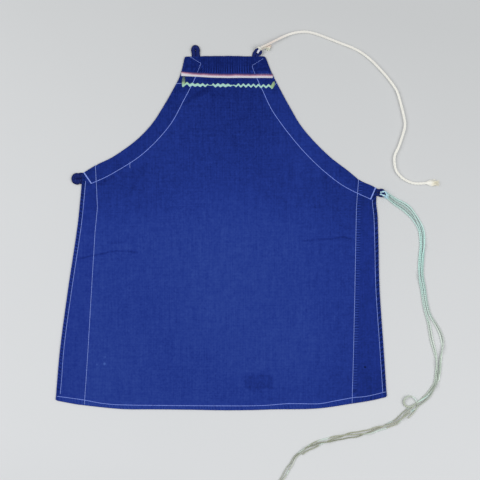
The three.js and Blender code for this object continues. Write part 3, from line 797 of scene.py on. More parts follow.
def cloth(name, colours, specks=()):
    """Dyed cotton whose tone follows the piece's folds with painted light and shade, with uneven dye, faint
    streaks and a plain weave.
    """
    material, tree, shader, place = blank(name, 0.9, Sheen_Weight=0.02, Specular_IOR_Level=0.05)
    woven = weave(tree, place, threads=1100)
    tone = varied(tree, mottled(tree, piece_tone(tree), place, DYE), woven, WOVEN_SHADE)
    for spot in specks:
        tone = speck(tree, place, tone, *spot)
    coloured(tree, shader, tone, list(zip(CLOTH_TONES, colours)))
    bump(tree, shader, woven, distance=0.00025, strength=0.5)
    return material


def stitching(name, colour):
    material, tree, shader, place = blank(name, 0.6)
    dark = [value * THREAD_DARK for value in colour]
    coloured(tree, shader, mottle(tree, place, 260, 2), [(0.2, dark), (0.8, colour)])
    return material


def tape_weave():
    """Tape that is whiter towards its left end."""
    material, tree, shader, place = blank("tape weave", 0.75, Sheen_Weight=0.1)
    sides = parted(tree, add(tree, "ShaderNodeUVMap", {"uv_map": "grid"}).outputs["UV"])
    height = mottled(tree, sides["Y"], place, TAPE_PATCHES)
    height = sums(tree, height, ranged(tree, sides["X"], *TAPE_WHITER))
    coloured(tree, shader, height, TAPE_COLOURS)
    bump(tree, shader, weave(tree, place, threads=1500), distance=0.0002)
    return material


def braid_weave():
    material, tree, shader, place = blank("braid weave", 0.75, Sheen_Weight=0.05)
    turned = add(tree, "ShaderNodeMapping", Vector=place, Rotation=(0, 0, BRAID_TURN)).outputs["Vector"]
    ribs = weave(tree, turned, threads=900)
    tone = varied(tree, mottled(tree, piece_tone(tree), place, BRAID_PATCHES), ribs, RIB_SHADE)
    coloured(tree, shader, tone, BRAID_COLOURS)
    bump(tree, shader, ribs, distance=0.0003)
    return material


def cotton():
    """Undyed cotton of the neck cord."""
    material, tree, shader, place = blank("cotton cord", 0.85, Sheen_Weight=0.1)
    along = mottled(tree, parted(tree, place)["X"], place, CORD_PATCHES)
    coloured(tree, shader, ranged(tree, along, 0, CORD_SPAN), CORD_COLOURS)
    fibres(tree, shader, place, 900)
    return material


def soiled_cotton():
    """The tan end of the cord that is left over beside its knot, pale again at its tips."""
    material, tree, shader, place = blank("soiled cotton", 0.85, Sheen_Weight=0.1)
    down = ranged(tree, parted(tree, place)["Y"], *TAIL_HEIGHTS)
    coloured(tree, shader, mottled(tree, down, place, TAIL_PATCHES), TAIL_COLOURS)
    fibres(tree, shader, place, 900)
    return material


def yarn(name, light, start, number=0):
    """Yarn that fades along its length, with patches of its upper colours lower down."""
    material, tree, shader, place = blank(name, 0.85, Sheen_Weight=0.1)
    along = mottled(tree, ranged(tree, parted(tree, place)["Y"], *YARN_HEIGHTS), place, YARN_PATCHES)
    shifted = add(tree, "ShaderNodeMapping", Vector=place, Location=(number, 0, 0)).outputs["Vector"]
    patches = ranged(tree, mottle(tree, shifted, 28, 1), *YARN_BACK)
    lower = ranged(tree, along, *YARN_BACK_FROM)
    along = sums(tree, along, sums(tree, patches, lower, "MULTIPLY"), "SUBTRACT")
    stops = []
    for stop, colour in [(YARN_START, start), *YARN_COLOURS]:
        stops.append((stop, [min(value * light, 255) for value in colour]))
    coloured(tree, shader, along, stops)
    fibres(tree, shader, place, 1200)
    return material


# Spots on the cloth: place, radius and how much paler or darker
PANEL_SPECKS = [((-233.3, -272.4), 3.4, 0.6), ((-248.5, -274), 2.6, 0.3), ((-232, -259), 2.6, 0.3)]
SIDE_SPECKS = [((287.5, -279), 3, -0.5)]

front_cloth = cloth("blue cloth", [(8, 18, 56), (15, 31, 97), (32, 54, 138), (68, 96, 174)], PANEL_SPECKS)
side_cloth = cloth("side cloth", [(8, 18, 54), (16, 33, 92), (29, 50, 134), (64, 90, 170)], SIDE_SPECKS)
facing_cloth = cloth("facing cloth", [(8, 14, 54), (15, 28, 88), (30, 48, 127), (66, 90, 166)])
loop_cloth = cloth("loop cloth", [(5, 8, 34), (12, 18, 60), (24, 35, 96), (56, 72, 138)])
pale_thread = stitching("pale thread", (156, 180, 255))
blue_thread = stitching("blue thread", (145, 170, 255))
cotton_cord = cotton()
cord_tail = soiled_cotton()
loop_yarn = yarn("loop yarn", 1.0, (194, 230, 244))
YARN_LIGHT = [1.09, 1.04, 0.96, 1.07]
tie_yarns = [
    yarn(f"tie yarn {number}", light, (184, 210, 205), number) for number, light in enumerate(YARN_LIGHT, 1)
]
trim_braid = braid_weave()


# Cloth panels and facings

# Places of the grid's lines: inwards from a hem's edge, before a far edge, and across a facing by its width
HEM_STOPS = [0, 0.4, 1, 1.8, 3, 4.2, 5.4, 6.4, 7, 7.4, 7.9, 8.1, 8.8, 10, 12, 15, 18]
EDGE_STOPS = [6, 4.4, 3, 2, 1.2, 0.6, 0.25, 0]
ZONE_STOPS = np.array([
    0, 0.008, 0.025, 0.05, 0.09, 0.15, 0.25, 0.36, 0.47, 0.58, 0.67, 0.73, 0.77, 0.8, 0.83, 0.87, 0.92, 1,
])
# Spacing of the middle panel's rows, closer in its creased band, and how many columns its field has
PANEL_ROW = 4.8
CREASED_ROW = 1.9
FIELD_COLUMNS = 190
# How far the close columns pass a facing's stitches, and how far they reach where there is no facing
PAST_FACING = 6
EDGE_ZONE = 10
# Nominal length and width of a side panel, and the spacing of its rows and columns
SIDE_LENGTH = 460
SIDE_WIDTH = 60
SIDE_ROW = 1.5
SIDE_COLUMN = 2.6
# Columns and rows of the facings
ARMHOLE_GRID = (12, 130)
NECK_GRID = (60, 34)
# Gap between two facings, and their tone and how far it changes
FACING_APART = 0.4
FACING_TONE = 0.5
FACING_CHANGE = 0.08
# Size of the rounded corners and how far they draw in, and how far the neck's edge wanders
CORNER = 4
CORNER_IN = 0.6 * CORNER
NECK_STRAY = 0.35
# Rounds of fitting a place's height to its place across
ROUNDS = 5


def stops_between(stops, total, spacing):
    """Distances that are close together at the hem and at the far edge, and even between."""
    far = total - np.array(EDGE_STOPS)
    count = max(int((far[0] - stops[-1]) / spacing), 1)
    return np.concatenate([stops, np.linspace(stops[-1], far[0], count + 1)[1:-1], far])


def pick(stops, share):
    return np.interp(share, np.linspace(0, 1, len(stops)), stops)


def above_hem(x, above, high, length):
    """Height on the apron of a grid row: the hem's own rows, then even rows up to the top edge."""
    start = HEM_STOPS[-1]
    low = y_at(bottom_edge, x)
    hem_top = low + start * hem_depth(x)
    field = hem_top + (above - start) * (high - hem_top) / (length - start)
    return np.where(above < start, low + above * hem_depth(x), field)


def on_cloth(x, y, is_upper):
    under, upper, tone = cloth_layers(x, y)
    return np.column_stack([x, y, np.where(is_upper, upper, under)]), tone


def edge_zone(side, y):
    """The middle panel's edge on one side, and the width of the close columns beside it."""
    edge = np.where(y > seam[side][-1, 1], x_at(armhole[side], y), x_at(seam[side], y))
    faced = (x_at(facing_stitch[side], y) - edge) * INWARD[side] + PAST_FACING
    return edge, np.maximum(np.where(y > facing_stitch[side][0, 1], faced, EDGE_ZONE), EDGE_ZONE)


def middle_panel():
    length = NECK_TOP - LOWEST
    rows = stops_between(HEM_STOPS, length, PANEL_ROW)
    low, high = (y - LOWEST for y in CREASED_BAND)
    rows = np.concatenate([rows[rows < low - 1], np.arange(low, high, CREASED_ROW), rows[rows > high + 1]])
    field = 1 + np.arange(1, FIELD_COLUMNS) / FIELD_COLUMNS
    columns = np.concatenate([ZONE_STOPS, field, 3 - ZONE_STOPS[::-1]])

    def place(u, v, is_upper):
        column = pick(columns, u)
        above = pick(rows, v)
        y = above + LOWEST
        for _ in range(ROUNDS):
            left, left_zone = edge_zone("left", y)
            right, right_zone = edge_zone("right", y)
            x = mix(left + left_zone, right - right_zone, column - 1)
            x = np.where(column <= 1, left + column * left_zone, x)
            x = np.where(column >= 2, right - (3 - column) * right_zone, x)
            y = above_hem(x, above, NECK_TOP, length)
        corner = np.clip(1 - np.minimum(x - left, right - x) / CORNER, 0, 1)
        top = step(y, NECK_TOP - 2 * CORNER, NECK_TOP)
        crown = NECK_CROWN * bell(x, NECK_MIDDLE, NECK_REACH)
        y = y + top * (crown + NECK_STRAY * wander(x * 2, seed=5) - CORNER_IN * corner**2)
        return on_cloth(x, y, is_upper)

    grid = (len(columns) - 1, len(rows) - 1)
    return sheet_piece("middle_panel_cloth", grid, place, front_cloth, "cloth", "middle_panel")


def side_panel(side):
    rows = stops_between(HEM_STOPS, SIDE_LENGTH, SIDE_ROW)
    columns = stops_between(HEM_STOPS, SIDE_WIDTH, SIDE_COLUMN)
    start = HEM_STOPS[-1]
    top_edge = armhole[side][:: INWARD[side]]

    def place(u, v, is_upper):
        column = pick(columns, u if side == "left" else 1 - u)
        above = pick(rows, v)
        y = above + BOTTOM[0][1]
        for _ in range(ROUNDS):
            outer = x_at(side_edge[side], y)
            inner = x_at(seam[side], y)
            field = start + (column - start) * (np.abs(inner - outer) - start) / (columns[-1] - start)
            x = outer + np.sign(inner - outer) * np.where(column < start, column, field)
            y = above_hem(x, above, y_at(top_edge, x), SIDE_LENGTH)
        corner = np.clip(1 - column / CORNER, 0, 1)
        y = y + CORNER_IN * corner**2 * (1 - step(above, 0, 2 * CORNER))
        return on_cloth(x, y, is_upper)

    name = f"{side}_side_panel"
    grid = (len(columns) - 1, len(rows) - 1)
    return sheet_piece(name + "_cloth", grid, place, side_cloth, "side_cloth", name)


def facing_layer(x, y, is_upper):
    """A facing lies flat under the cloth."""
    tone = FACING_TONE + FACING_CHANGE * wander(x + 0.7 * y, seed=2.6)
    return np.column_stack([x, y, np.where(is_upper, FACING_TOP, RAISED)]), tone


def armhole_facing(side):
    waist, neck = FACING_ENDS[side]
    outer = offset_line(armhole[side], INWARD[side] * FACING_INSET)
    outer = outer[np.abs(outer[:, 0]) < abs(waist[0])]
    outer = np.vstack([(waist[0], waist[1] - FACING_INSET), outer, neck])
    outer[:, 1] = np.minimum(outer[:, 1], NECK_TOP - FACING_INSET)
    inner = offset_line(facing_stitch[side], INWARD[side] * FACING_TURN)

    def place(u, v, is_upper):
        edge, stitched = (at_distance(line, v * travelled(line)[-1]) for line in (outer, inner))
        share = (u if side == "left" else 1 - u)[:, None]
        return facing_layer(*mix(edge, stitched, share).T, is_upper)

    name = f"{side}_armhole_facing"
    return sheet_piece(name + "_cloth", ARMHOLE_GRID, place, facing_cloth, "facing", name)


def neck_facing():
    top = NECK_TOP - FACING_INSET
    rims = []
    for side in SIDES:
        clear = INWARD[side] * (FACING_TURN + FACING_APART)
        corner = (FACING_ENDS[side][1][0] + 2 * clear, top)
        rims.append(np.vstack([offset_line(facing_stitch[side], clear), corner]))

    def place(u, v, is_upper):
        y = mix(NECK_FACING_LOW, top, v)
        left, right = (x_at(rim, y) for rim in rims)
        return facing_layer(mix(left, right, u), y, is_upper)

    return sheet_piece("neck_facing_cloth", NECK_GRID, place, facing_cloth, "facing", "neck_facing")


# Trim across the neck

# How far trim lies clear of the cloth
TRIM_CLEAR = 0.05
# Columns and rows of the trim
TAPE_GRID = (150, 14)
BRAID_GRID = (290, 8)
BRAID_END_GRID = (12, 20)

# Tape: width and how far it wanders, thickness, and the roll along its lower edge by its width
TAPE_WIDTH = 8.6
TAPE_STRAY = 0.25
TAPE_THICK = 0.5
ROLL_THICK = 1.6
ROLL_MIDDLE = 0.25
ROLL_HALF = 0.26
# Stretch of the tape's length over which its ends thin out
TAPE_TAPER = (-0.004, 0.006)

# Braid: its ends, how sharp its crests are, its thickness at the edges and what the middle adds
BRAID_ENDS = (-77, 103)
CREST_SHARP = 0.8
BRAID_THIN = 0.35
BRAID_FULL = 0.85
# Tone of the braid at its lower edge, and how much darker it is at the upper edge and at its two ends
BRAID_TONE = 0.72
BRAID_UPPER = 0.3
BRAID_LEFT = (-76, -58, 0.14)
BRAID_RIGHT = (90, 102, 0.2)
# Places along the braid and the number of its crest there, counted from the middle
BRAID_CRESTS = np.array([(-77, -10.5), (-67.5, -10), (34.2, 0), (94.5, 6), (104.5, 7)])
# Form of the braid: place along it, height of its band and its swing, thin where it lies on its edge
BRAID_FORM = np.array([
    (-77, 4.6, 3.4), (-70, 5, 2.8), (-62, 6, 1.1), (-46, 6, 1), (-36, 5.2, 1.6), (-28, 3.8, 1.8),
    (-25, 1.4, 0.4), (-19, 1.4, 0.4), (-16, 4.6, 2), (-9, 5.4, 1.6), (13, 5.6, 1.1), (19, 4, 0.8),
    (22, 1.5, 0.2), (25, 2, 0.5), (30, 4, 1.8), (36, 4.6, 2), (98, 4.6, 2.1), (104, 4.5, 1.2),
])
# Turned ends of the braid: across, up, width and tone
LEFT_BRAID_END = [
    (-74.6, 302, 4.6, 0), (-75, 297, 6.2, 0.05), (-75.4, 291, 6.4, 0.18), (-75.8, 286, 5.4, 0.38),
    (-76.4, 281, 3.2, 0.6),
]
RIGHT_BRAID_END = [
    (105.8, 292, 3, 0.12), (104.8, 288.5, 5.6, 0.24), (103.2, 284, 7, 0.28), (101.8, 280, 5.4, 0.32),
    (101, 276.8, 2.4, 0.45),
]
# Thickness of a turned end at its edge, what its middle adds, and how far its folds change that
END_THIN = 0.2
END_FULL = 1.7
END_FOLDS = 0.12


def rounded(aside, power):
    """Height of a rounded section, 1 in the middle and 0 at its sides, which are at -1 and 1."""
    return np.sqrt(np.clip(1 - aside**power, 0, 1))


def on_top(x, y, thick, is_upper):
    """Places of trim of the given thickness that lies on the cloth."""
    return np.column_stack([x, y, cloth_layers(x, y)[1] + TRIM_CLEAR + np.where(is_upper, thick, 0)])


def neck_tape():
    """Tape with a thick roll along its lower edge."""

    def place(u, v, is_upper):
        x = mix(tape_line[0, 0], tape_line[-1, 0], u)
        y = y_at(tape_line, x) + (v - 0.5) * TAPE_WIDTH + TAPE_STRAY * wander(x, seed=1.1)
        roll = ROLL_THICK * rounded((v - ROLL_MIDDLE) / ROLL_HALF, 2)
        thick = np.maximum(TAPE_THICK + 0.1 * wander(x * 3, seed=2), roll)
        thick = thick * step(np.minimum(u, 1 - u), *TAPE_TAPER)
        return on_top(x, y, thick, is_upper), np.full(len(x), 0.5)

    return sheet_piece("neck_tape_weave", TAPE_GRID, place, tape_weave(), "tape", "neck_tape")


def zigzag_braid():
    def place(u, v, is_upper):
        x = mix(*BRAID_ENDS, u)
        turns = np.interp(x, *BRAID_CRESTS.T)
        zigzag = np.arcsin(CREST_SHARP * np.cos(FULL_TURN * turns)) / math.asin(CREST_SHARP)
        band = np.interp(x, BRAID_FORM[:, 0], BRAID_FORM[:, 1]) * (1 + 0.1 * wander(x * 2, seed=3))
        bend = np.interp(x, BRAID_FORM[:, 0], BRAID_FORM[:, 2]) * (1 + 0.15 * wander(x, seed=5))
        y = y_at(braid_line, x) + bend * zigzag + (v - 0.5) * band
        thick = (BRAID_THIN + BRAID_FULL * rounded(2 * v - 1, 4)) * (1 + 0.15 * wander(x * 4, seed=1))
        *left, left_dark = BRAID_LEFT
        *right, right_dark = BRAID_RIGHT
        tone = BRAID_TONE - BRAID_UPPER * v - left_dark * (1 - step(x, *left)) - right_dark * step(x, *right)
        return on_top(x, y, thick, is_upper), tone

    return sheet_piece("zigzag_braid_weave", BRAID_GRID, place, trim_braid, "braid", "zigzag_braid")


def braid_end(name, rows):
    """A turned end of the braid, folded over itself into a thick tip."""
    line = smooth_line(rows, 6)
    gone = travelled(line[:, :2])

    def place(u, v, is_upper):
        middle, y, width, tone = (np.interp(v * gone[-1], gone, column) for column in line.T)
        x = middle + (0.5 - u) * width
        crown = rounded(2 * u - 1, 4) * rounded(2 * v - 1, 6)
        fold = 1 + END_FOLDS * np.sin(9 * u + 14 * v)
        return on_top(x, y, END_THIN + END_FULL * crown * fold, is_upper), tone

    return sheet_piece(name, BRAID_END_GRID, place, trim_braid, "braid")


# Cloth loops

# Rolled loops: foot, way square to the edge, way the loop points, length, width over all, width of the strip,
# height, rise towards the tip, and bulge of the left leg
LOOP_COLUMNS = ("foot", "edge", "axis", "length", "outer", "strip", "height", "rise", "bulge")
LOOP_ROWS = {
    "neck_loop_left": ((-50.6, 342.1), 90, 94, 22.8, 17.8, 8.3, 4.4, 0, 0),
    "neck_loop_right": ((68.1, 342.1), 90, 55, 18.4, 15.6, 6, 3.2, 4.4, 1.9),
    "waist_loop_left": ((-279, 98.3), 175, 186, 20.6, 23.6, 11.2, 4.4, 0, 0),
    "waist_loop_right": ((310.8, 70), -4, -6, 16.6, 17.4, 7, 3.8, 3.4, 0),
}
LOOPS = {name: dict(zip(LOOP_COLUMNS, row)) for name, row in LOOP_ROWS.items()}
# Places along a leg and aside from the loop's middle, as shares of its reach and of its half width
LOOP_LEG = [(0.42, 0.85), (0.66, 1), (0.9, 0.66)]
# Gap on each side of the middle where a loop's two legs lie together
LEG_GAP = 0.1
# Height of a loop's foot, how far it is tucked under the edge and how far it leaves the edge squarely
LOOP_FOOT = 2.2
LOOP_TUCK = 4
LOOP_SQUARE = 2
# Where a bulging leg is wider, as shares of the way round its loop, and how much for each millimetre
BULGE_AT = 0.21
BULGE_REACH = 0.09
BULGE_WIDER = 0.14
# Where a loop reaches its height and its rise, as shares of its reach, and how deep its wrinkles are
HEIGHT_FROM = (0.05, 0.4)
RISE_FROM = (0.3, 0.85)
WRINKLE = 0.18
# Tone of a loop at the middle of its height, the painted light on top of its rolled strip and painted shade
# on its sides, and the painted light and shade on its wrinkles
LOOP_TONE = 0.34
LOOP_PAINTED_TOP_LIGHT = 0.42
WRINKLE_PAINTED_SHADING = 1.3


def loop_way(degrees):
    turn = math.radians(degrees)
    return np.array([math.cos(turn), math.sin(turn)])


def in_loop(loop, along, aside, degrees=None):
    """Places given along a loop's way and aside from it."""
    out = loop_way(loop["axis"] if degrees is None else degrees)
    left = np.array([-out[1], out[0]])
    return np.array(loop["foot"]) + np.multiply.outer(along, out) + np.multiply.outer(aside, left)


def cloth_loop(name):
    loop = LOOPS[name]
    strip = loop["strip"]
    reach = loop["length"] - strip / 2
    half = (loop["outer"] - strip) / 2
    spread = strip / 2 + LEG_GAP

    def leg(sign):
        places = [in_loop(loop, along, sign * spread, loop["edge"]) for along in (-LOOP_TUCK, 0, LOOP_SQUARE)]
        asides = [aside * half for _, aside in LOOP_LEG]
        asides[0] = min(asides[0], spread) + max(sign, 0) * loop["bulge"]
        for (along, _), aside in zip(LOOP_LEG, asides):
            places.append(in_loop(loop, along * reach, sign * aside))
        return places

    path = smooth_line([*leg(1), in_loop(loop, reach, 0), *leg(-1)[::-1]], 12)
    path = even_points(np.column_stack([path, np.zeros(len(path))]), 0.8)
    share = travelled(path) / travelled(path)[-1]
    wider = 1 + BULGE_WIDER * loop["bulge"] * bell(share, BULGE_AT, BULGE_REACH)
    mesh = strands(name + "_cloth", [(path, strip / 2 * wider)], 16)
    places = places_of(mesh) / MM
    x, y, z = places.T
    share = ((places[:, :2] - loop["foot"]) @ loop_way(loop["axis"])) / reach
    height = mix(LOOP_FOOT, loop["height"], step(share, *HEIGHT_FROM))
    wrinkle = WRINKLE * np.sin(x * 1.9 + 2 * np.sin(y * 0.8)) * np.sin(y * 1.6 + 1)
    # Painted light on the rolled strip's top, painted shade on its sides, and painted light and shade on its
    # wrinkles
    tone = LOOP_TONE + LOOP_PAINTED_TOP_LIGHT * z / strip + WRINKLE_PAINTED_SHADING * wrinkle
    rolled = z * height / strip * (1 + wrinkle) + height / 2
    places[:, 2] = np.maximum(rolled + loop["rise"] * step(share, *RISE_FROM), 0.05)
    set_places(mesh, places, tone)
    return finished(name + "_cloth", mesh, loop_cloth, "loop", name)


# Stitching

# Shares along a stitch, and how high and how thick its thread is there
STITCH = np.array([(0.04, -0.3, 0.7), (0.16, 0.12, 1), (0.5, 0.22, 1), (0.84, 0.12, 1), (0.96, -0.3, 0.7)])
# How far threads lie below the cloth, and how much of a stitch's height they keep there
UNDER_DOWN = 0.04
UNDER_KEEP = 0.05
# Where the rows along the hems begin and end, and the bow of the left one
LEFT_ROW = (-340, 96)
RIGHT_ROW = (-331, 56)
BOTTOM_ROW = (-328, 329.5)
BOW = 1.2
BOW_AT = -300
BOW_REACH = 40
# Gap between the two rows at the waist, half on each side
DOUBLED = (-0.45, 0.45)
# Ends of the rows that hold the tape and the braid
TRIM_ROWS = [
    [(-89.5, 287.6), (-79, 288)],
    [(107, 285.5), (111.5, 288.5)],
    [(66, 306.7), (99, 306.8)],
]
# A thread's end that hangs from the left facing's row, and its height on the cloth
LOOSE_END = [(-181.8, 131), (-182.6, 125), (-182.3, 119)]
LOOSE_HIGH = 0.5


def sewn(lines, radius, under=False):
    """Strands of a row of stitches along each line, on the upper face or on the under face."""
    points = [even_points(line, PITCH) for line in lines]
    starts = np.vstack([row[:-1] for row in points])
    ends = np.vstack([row[1:] for row in points])
    share, high, thick = STITCH.T
    flat = mix(starts[:, None], ends[:, None], share[:, None])
    upper = cloth_layers(flat[..., 0].ravel(), flat[..., 1].ravel())[1].reshape(len(flat), -1)
    below = np.broadcast_to(RAISED - UNDER_DOWN - UNDER_KEEP * high, upper.shape)
    height = below if under else upper + high
    return [(np.column_stack(stitch), radius * thick) for stitch in zip(flat, height)]


def hem_stitches():
    left = stretch(offset_line(side_edge["left"], STITCH_IN), *LEFT_ROW)
    left[:, 0] += BOW * bell(left[:, 1], BOW_AT, BOW_REACH)
    right = stretch(even_points(offset_line(side_edge["right"], -STITCH_IN), 1), *RIGHT_ROW)
    return [left, right]


def facing_stitches():
    """Rows along the armhole facings, up to the neck tape."""
    rows = [even_points(facing_stitch[side], 2) for side in SIDES]
    return [row[row[:, 1] < NECK_ROWS_FROM] for row in rows]


def neck_stitches():
    """The fainter upper ends of the same rows, which turn towards the neck's corners."""
    rows = []
    for side in SIDES:
        row = even_points(facing_stitch[side], 2)
        rows += [row[row[:, 1] >= NECK_ROWS_FROM], np.vstack([row[-1], FACING_ENDS[side][1]])]
    return rows


def seam_stitches():
    """Rows along the two seams, from the bottom edge to the armhole."""
    rows = [even_points(line, 1) for line in seam.values()]
    return [row[row[:, 1] > y_at(bottom_edge, row[:, 0]) + 1] for row in rows]


def waist_ends():
    """The doubled row across each facing's waist end."""
    rows = []
    for side in SIDES:
        end = np.array([FACING_ENDS[side][0], facing_stitch[side][0]], float)
        rows += [offset_line(end, gap) for gap in DOUBLED]
    return rows


def loose_end():
    flat = smooth_line(LOOSE_END, 6)
    return np.column_stack([flat, cloth_layers(*flat.T)[1] + LOOSE_HIGH]), FINE_THREAD


# Neck cord

# Thickness of the cord at its knot, and the length over which it fills out and comes down from there
KNOT_THICK = 4.6
KNOT_SLOPE = 60
# Lengths of a twist, and how close the points of the cord and of its knot are
NECK_TWIST = 18
KNOT_TWIST = 15
NECK_STEP = 1.5
KNOT_STEP = 0.9
# The cord's turn through its loop and the end that is left over: along the loop, aside from it and height
KNOT_TURN = [
    (35.6, -8.2, 6.4), (30.8, -5.9, 7), (26.8, -3.6, 7.6), (22.6, -1.4, 8.5), (18.4, 0.2, 9.4),
    (14, 0.2, 8.8), (9.6, 0.2, 7.2), (8.8, 0, 4.4), (11.5, -0.3, 2.9), (15.5, -0.8, 2.6), (19.2, -1.8, 2.6),
    (23, -4, 2.6),
]
KNOT_TAIL = [(23, -4, 2.6), (26.6, -6.8, 3.2), (30, -9.6, 3.5), (32.6, -11.6, 3.2)]
# The turn that binds the knot: its middle and half sizes along the loop, aside from it and upwards
BINDING_MIDDLE = (16.8, 1.3, 6.8)
BINDING_HALF = (0.5, 3.2, 6)
BINDING_ANGLES = (-40, 220)
BINDING_THICK = 4
BINDING_TWIST = 10
# Tufts of loose fibres: way they point, count, length, flare, seed and radius
TAIL_TUFTS = [((-0.45, -1), 50, 10, 3.4, 3, 0.4), ((1, -0.3), 24, 4, 2.6, 4, 0.4)]
FRAY_TUFTS = [((1, 0), 44, 18, 6.8, 8, 0.7), ((1, 0), 90, 28, 4.6, 9, 0.38)]
# How far the fray begins inside the cord's end
FRAY_IN = 4
# Fibres of a tuft: shortest share of the length, curl, spread at the root, height at root and tip,
# how much of its height it loses, and the tip's share of the radius
FIBRE_SHORT = 0.5
FIBRE_CURL = 1.5
FIBRE_ROOT = 1.6
FIBRE_HIGH = (1.8, 1.2)
FIBRE_SINKS = 0.25
FIBRE_TIP = 0.6


def by_neck_loop(rows):
    loop = LOOPS["neck_loop_right"]
    return smooth_line([(*in_loop(loop, along, aside), z) for along, aside, z in rows], 12)


def binding_turn():
    """The turn of cord that lies across the knot and binds it to the loop's end."""
    angle = np.radians(np.linspace(*BINDING_ANGLES, 40))
    swings = (np.cos(angle), np.cos(angle), np.sin(angle))
    rows = zip(BINDING_MIDDLE, BINDING_HALF, swings)
    along, aside, height = (middle + half * swing for middle, half, swing in rows)
    return np.column_stack([in_loop(LOOPS["neck_loop_right"], along, aside), height])


def tuft(start, way, count, length, flare, seed, radius):
    """Loose fibres that spread from a cord's end."""
    chance = random.Random(seed)
    way = np.array([*way, 0.0]) / math.hypot(*way)
    aside = np.array([-way[1], way[0], 0])
    share = np.linspace(0, 1, 7)
    made = []
    for _ in range(count):
        lean = chance.uniform(-1, 1)
        high = chance.uniform(-1, 1)
        reach = length * chance.uniform(FIBRE_SHORT, 1.0)
        curl = chance.uniform(-FIBRE_CURL, FIBRE_CURL)
        out = np.multiply.outer(share * reach, way)
        out += np.multiply.outer(lean * mix(FIBRE_ROOT, flare, share) + curl * share**2, aside)
        out[:, 2] += high * mix(*FIBRE_HIGH, share) - start[2] * FIBRE_SINKS * share
        line = np.array(start) + out
        line[:, 2] = np.maximum(line[:, 2], radius)
        made.append((line, radius * mix(1.0, FIBRE_TIP, share)))
    return made


def neck_cord():
    turn = by_neck_loop(KNOT_TURN)
    first = turn[0]
    route = np.array(NECK_ROUTE, float)
    gone = np.hypot(*(route - first[:2]).T)
    height = mix(first[2], NECK_CORD / 2 + CORD_CLEAR, step(gone, 0, KNOT_SLOPE))
    laid = np.vstack([first, np.column_stack([route, height])])
    path = even_points(smooth_line(laid, 8), NECK_STEP)
    thick = mix(KNOT_THICK, NECK_CORD, step(travelled(path), 0, KNOT_SLOPE))
    lines = plied(path, 3, thick, NECK_TWIST)
    cord = strand_piece("neck_cord_plies", lines, 8, cotton_cord, "cotton_cord", "neck_cord")

    tied = plied(even_points(turn, KNOT_STEP), 3, KNOT_THICK, KNOT_TWIST, turn=1.0)
    knot = strand_piece("neck_cord_knot", tied, 8, cotton_cord, "cotton_cord", "neck_cord_hitch")

    left_over = by_neck_loop(KNOT_TAIL)
    loose = plied(even_points(left_over, KNOT_STEP), 3, KNOT_THICK, KNOT_TWIST)
    loose += plied(even_points(binding_turn(), KNOT_STEP), 2, BINDING_THICK, BINDING_TWIST)
    for row in TAIL_TUFTS:
        loose += tuft(left_over[-1], *row)
    tail = strand_piece("neck_cord_tail", loose, 8, cord_tail, "cotton_cord")

    frayed = []
    for row in FRAY_TUFTS:
        frayed += tuft(path[-1] - (FRAY_IN, 0, 0), *row)
    fray = strand_piece("neck_cord_fray", frayed, 6, cotton_cord, "cotton_cord", "neck_cord_frayed_end")


# Waist tie

# Distance along the tie and the width of a lane there, its four strands lying from the left to the right
LANES = np.array([
    (0, 2.4), (12, 2.6), (24, 3.2), (40, 4.2), (54, 4.2), (68, 3), (105, 2.6), (150, 2.5), (190, 2.4),
    (260, 2.3), (310, 2.1), (360, 2.1), (410, 2.7), (445, 4.3), (505, 4.6), (530, 3.9), (555, 3.8),
    (580, 4), (620, 5), (645, 4.2), (670, 4.2), (700, 5.2), (720, 3.6), (750, 2.4), (780, 3.4), (840, 3.2),
])
LANE_CHANGE = 0.1
# Where two neighbouring strands change lanes: distance along the tie and the lower lane of the two
SWAPS = [
    (80, 1), (135, 0), (190, 2), (345, 0), (370, 2), (420, 1), (470, 2), (510, 1), (550, 2), (590, 1),
    (630, 2), (670, 1), (710, 2), (750, 1), (790, 2),
]
# Half the length of a change, how high one strand passes over the other, and for what share of that length
SWAP_REACH = 20
SWAP_HIGH = 2.5
SWAP_HUMP = 0.62
# How far the two pairs lie apart where they run together, and where that ends
PAIR_GAP = 0.8
PAIR_UNTIL = (380, 420)
# The stretch where the tie opens into two pairs
SPLIT_AT = 323
SPLIT_REACH = 33
SPLIT_WIDE = 8.6
# How far the tie strays from its route, and from where on
TIE_STRAY = 1.1
STRAY_FROM = (470, 540)
# Where the strands are fuller, just past the hitch, and how far the two middle ones are raised at it
FULL_AT = 38
FULL_REACH = 26
FULLER = 0.9
MIDDLE_HIGH = 1.2
MIDDLE_UNTIL = 25
# Where each strand leaves the others or ends, by the distance along the tie, and how slowly the rest close up
STRAND_ENDS = [405, 727, 810, 999]
CLOSE_UP = 12
# How one strand leaves the others, curls round and ends, and how thick it is where it curls
CURL = [
    (414, -334), (400, -345), (387, -353.5), (376.5, -358.5), (367.5, -355.5), (364.6, -347.5), (369, -339.5),
    (377, -336.8), (384.5, -340), (390, -348), (391.5, -358), (386, -367.6), (373.5, -381),
]
CURL_THICK = 4.4
# Where the curl is thick and where it passes over itself, by the distance along it, and how high it passes
CURL_THICK_BAND = ((40, 62), (104, 124))
CURL_OVER_BAND = ((98, 114), (124, 142))
CURL_OVER = 3.0
# One half of the hitch, from the tie to the bar across its loop: along the loop, aside from it and height
HITCH = [
    (24, 2.2, 2.2), (21, 2.4, 3.4), (18.4, 3, 6), (15.8, 3.9, 9.2), (13, 3.9, 9.9), (9.8, 2.6, 8.8),
    (7.4, 1.9, 6.2), (8.6, 1.9, 3.2), (11.6, 2.6, 2.1), (15.6, 4.6, 2.2), (18.4, 5.6, 4.9), (19.4, 3.4, 8.6),
]
HITCH_BAR = (19.6, 0, 9.7)
# How far the hitch lies to the right of the loop's middle, and how it bends further past this place along it
HITCH_LOW = -0.9
HITCH_BEND = 0.7
HITCH_BEND_FROM = 15
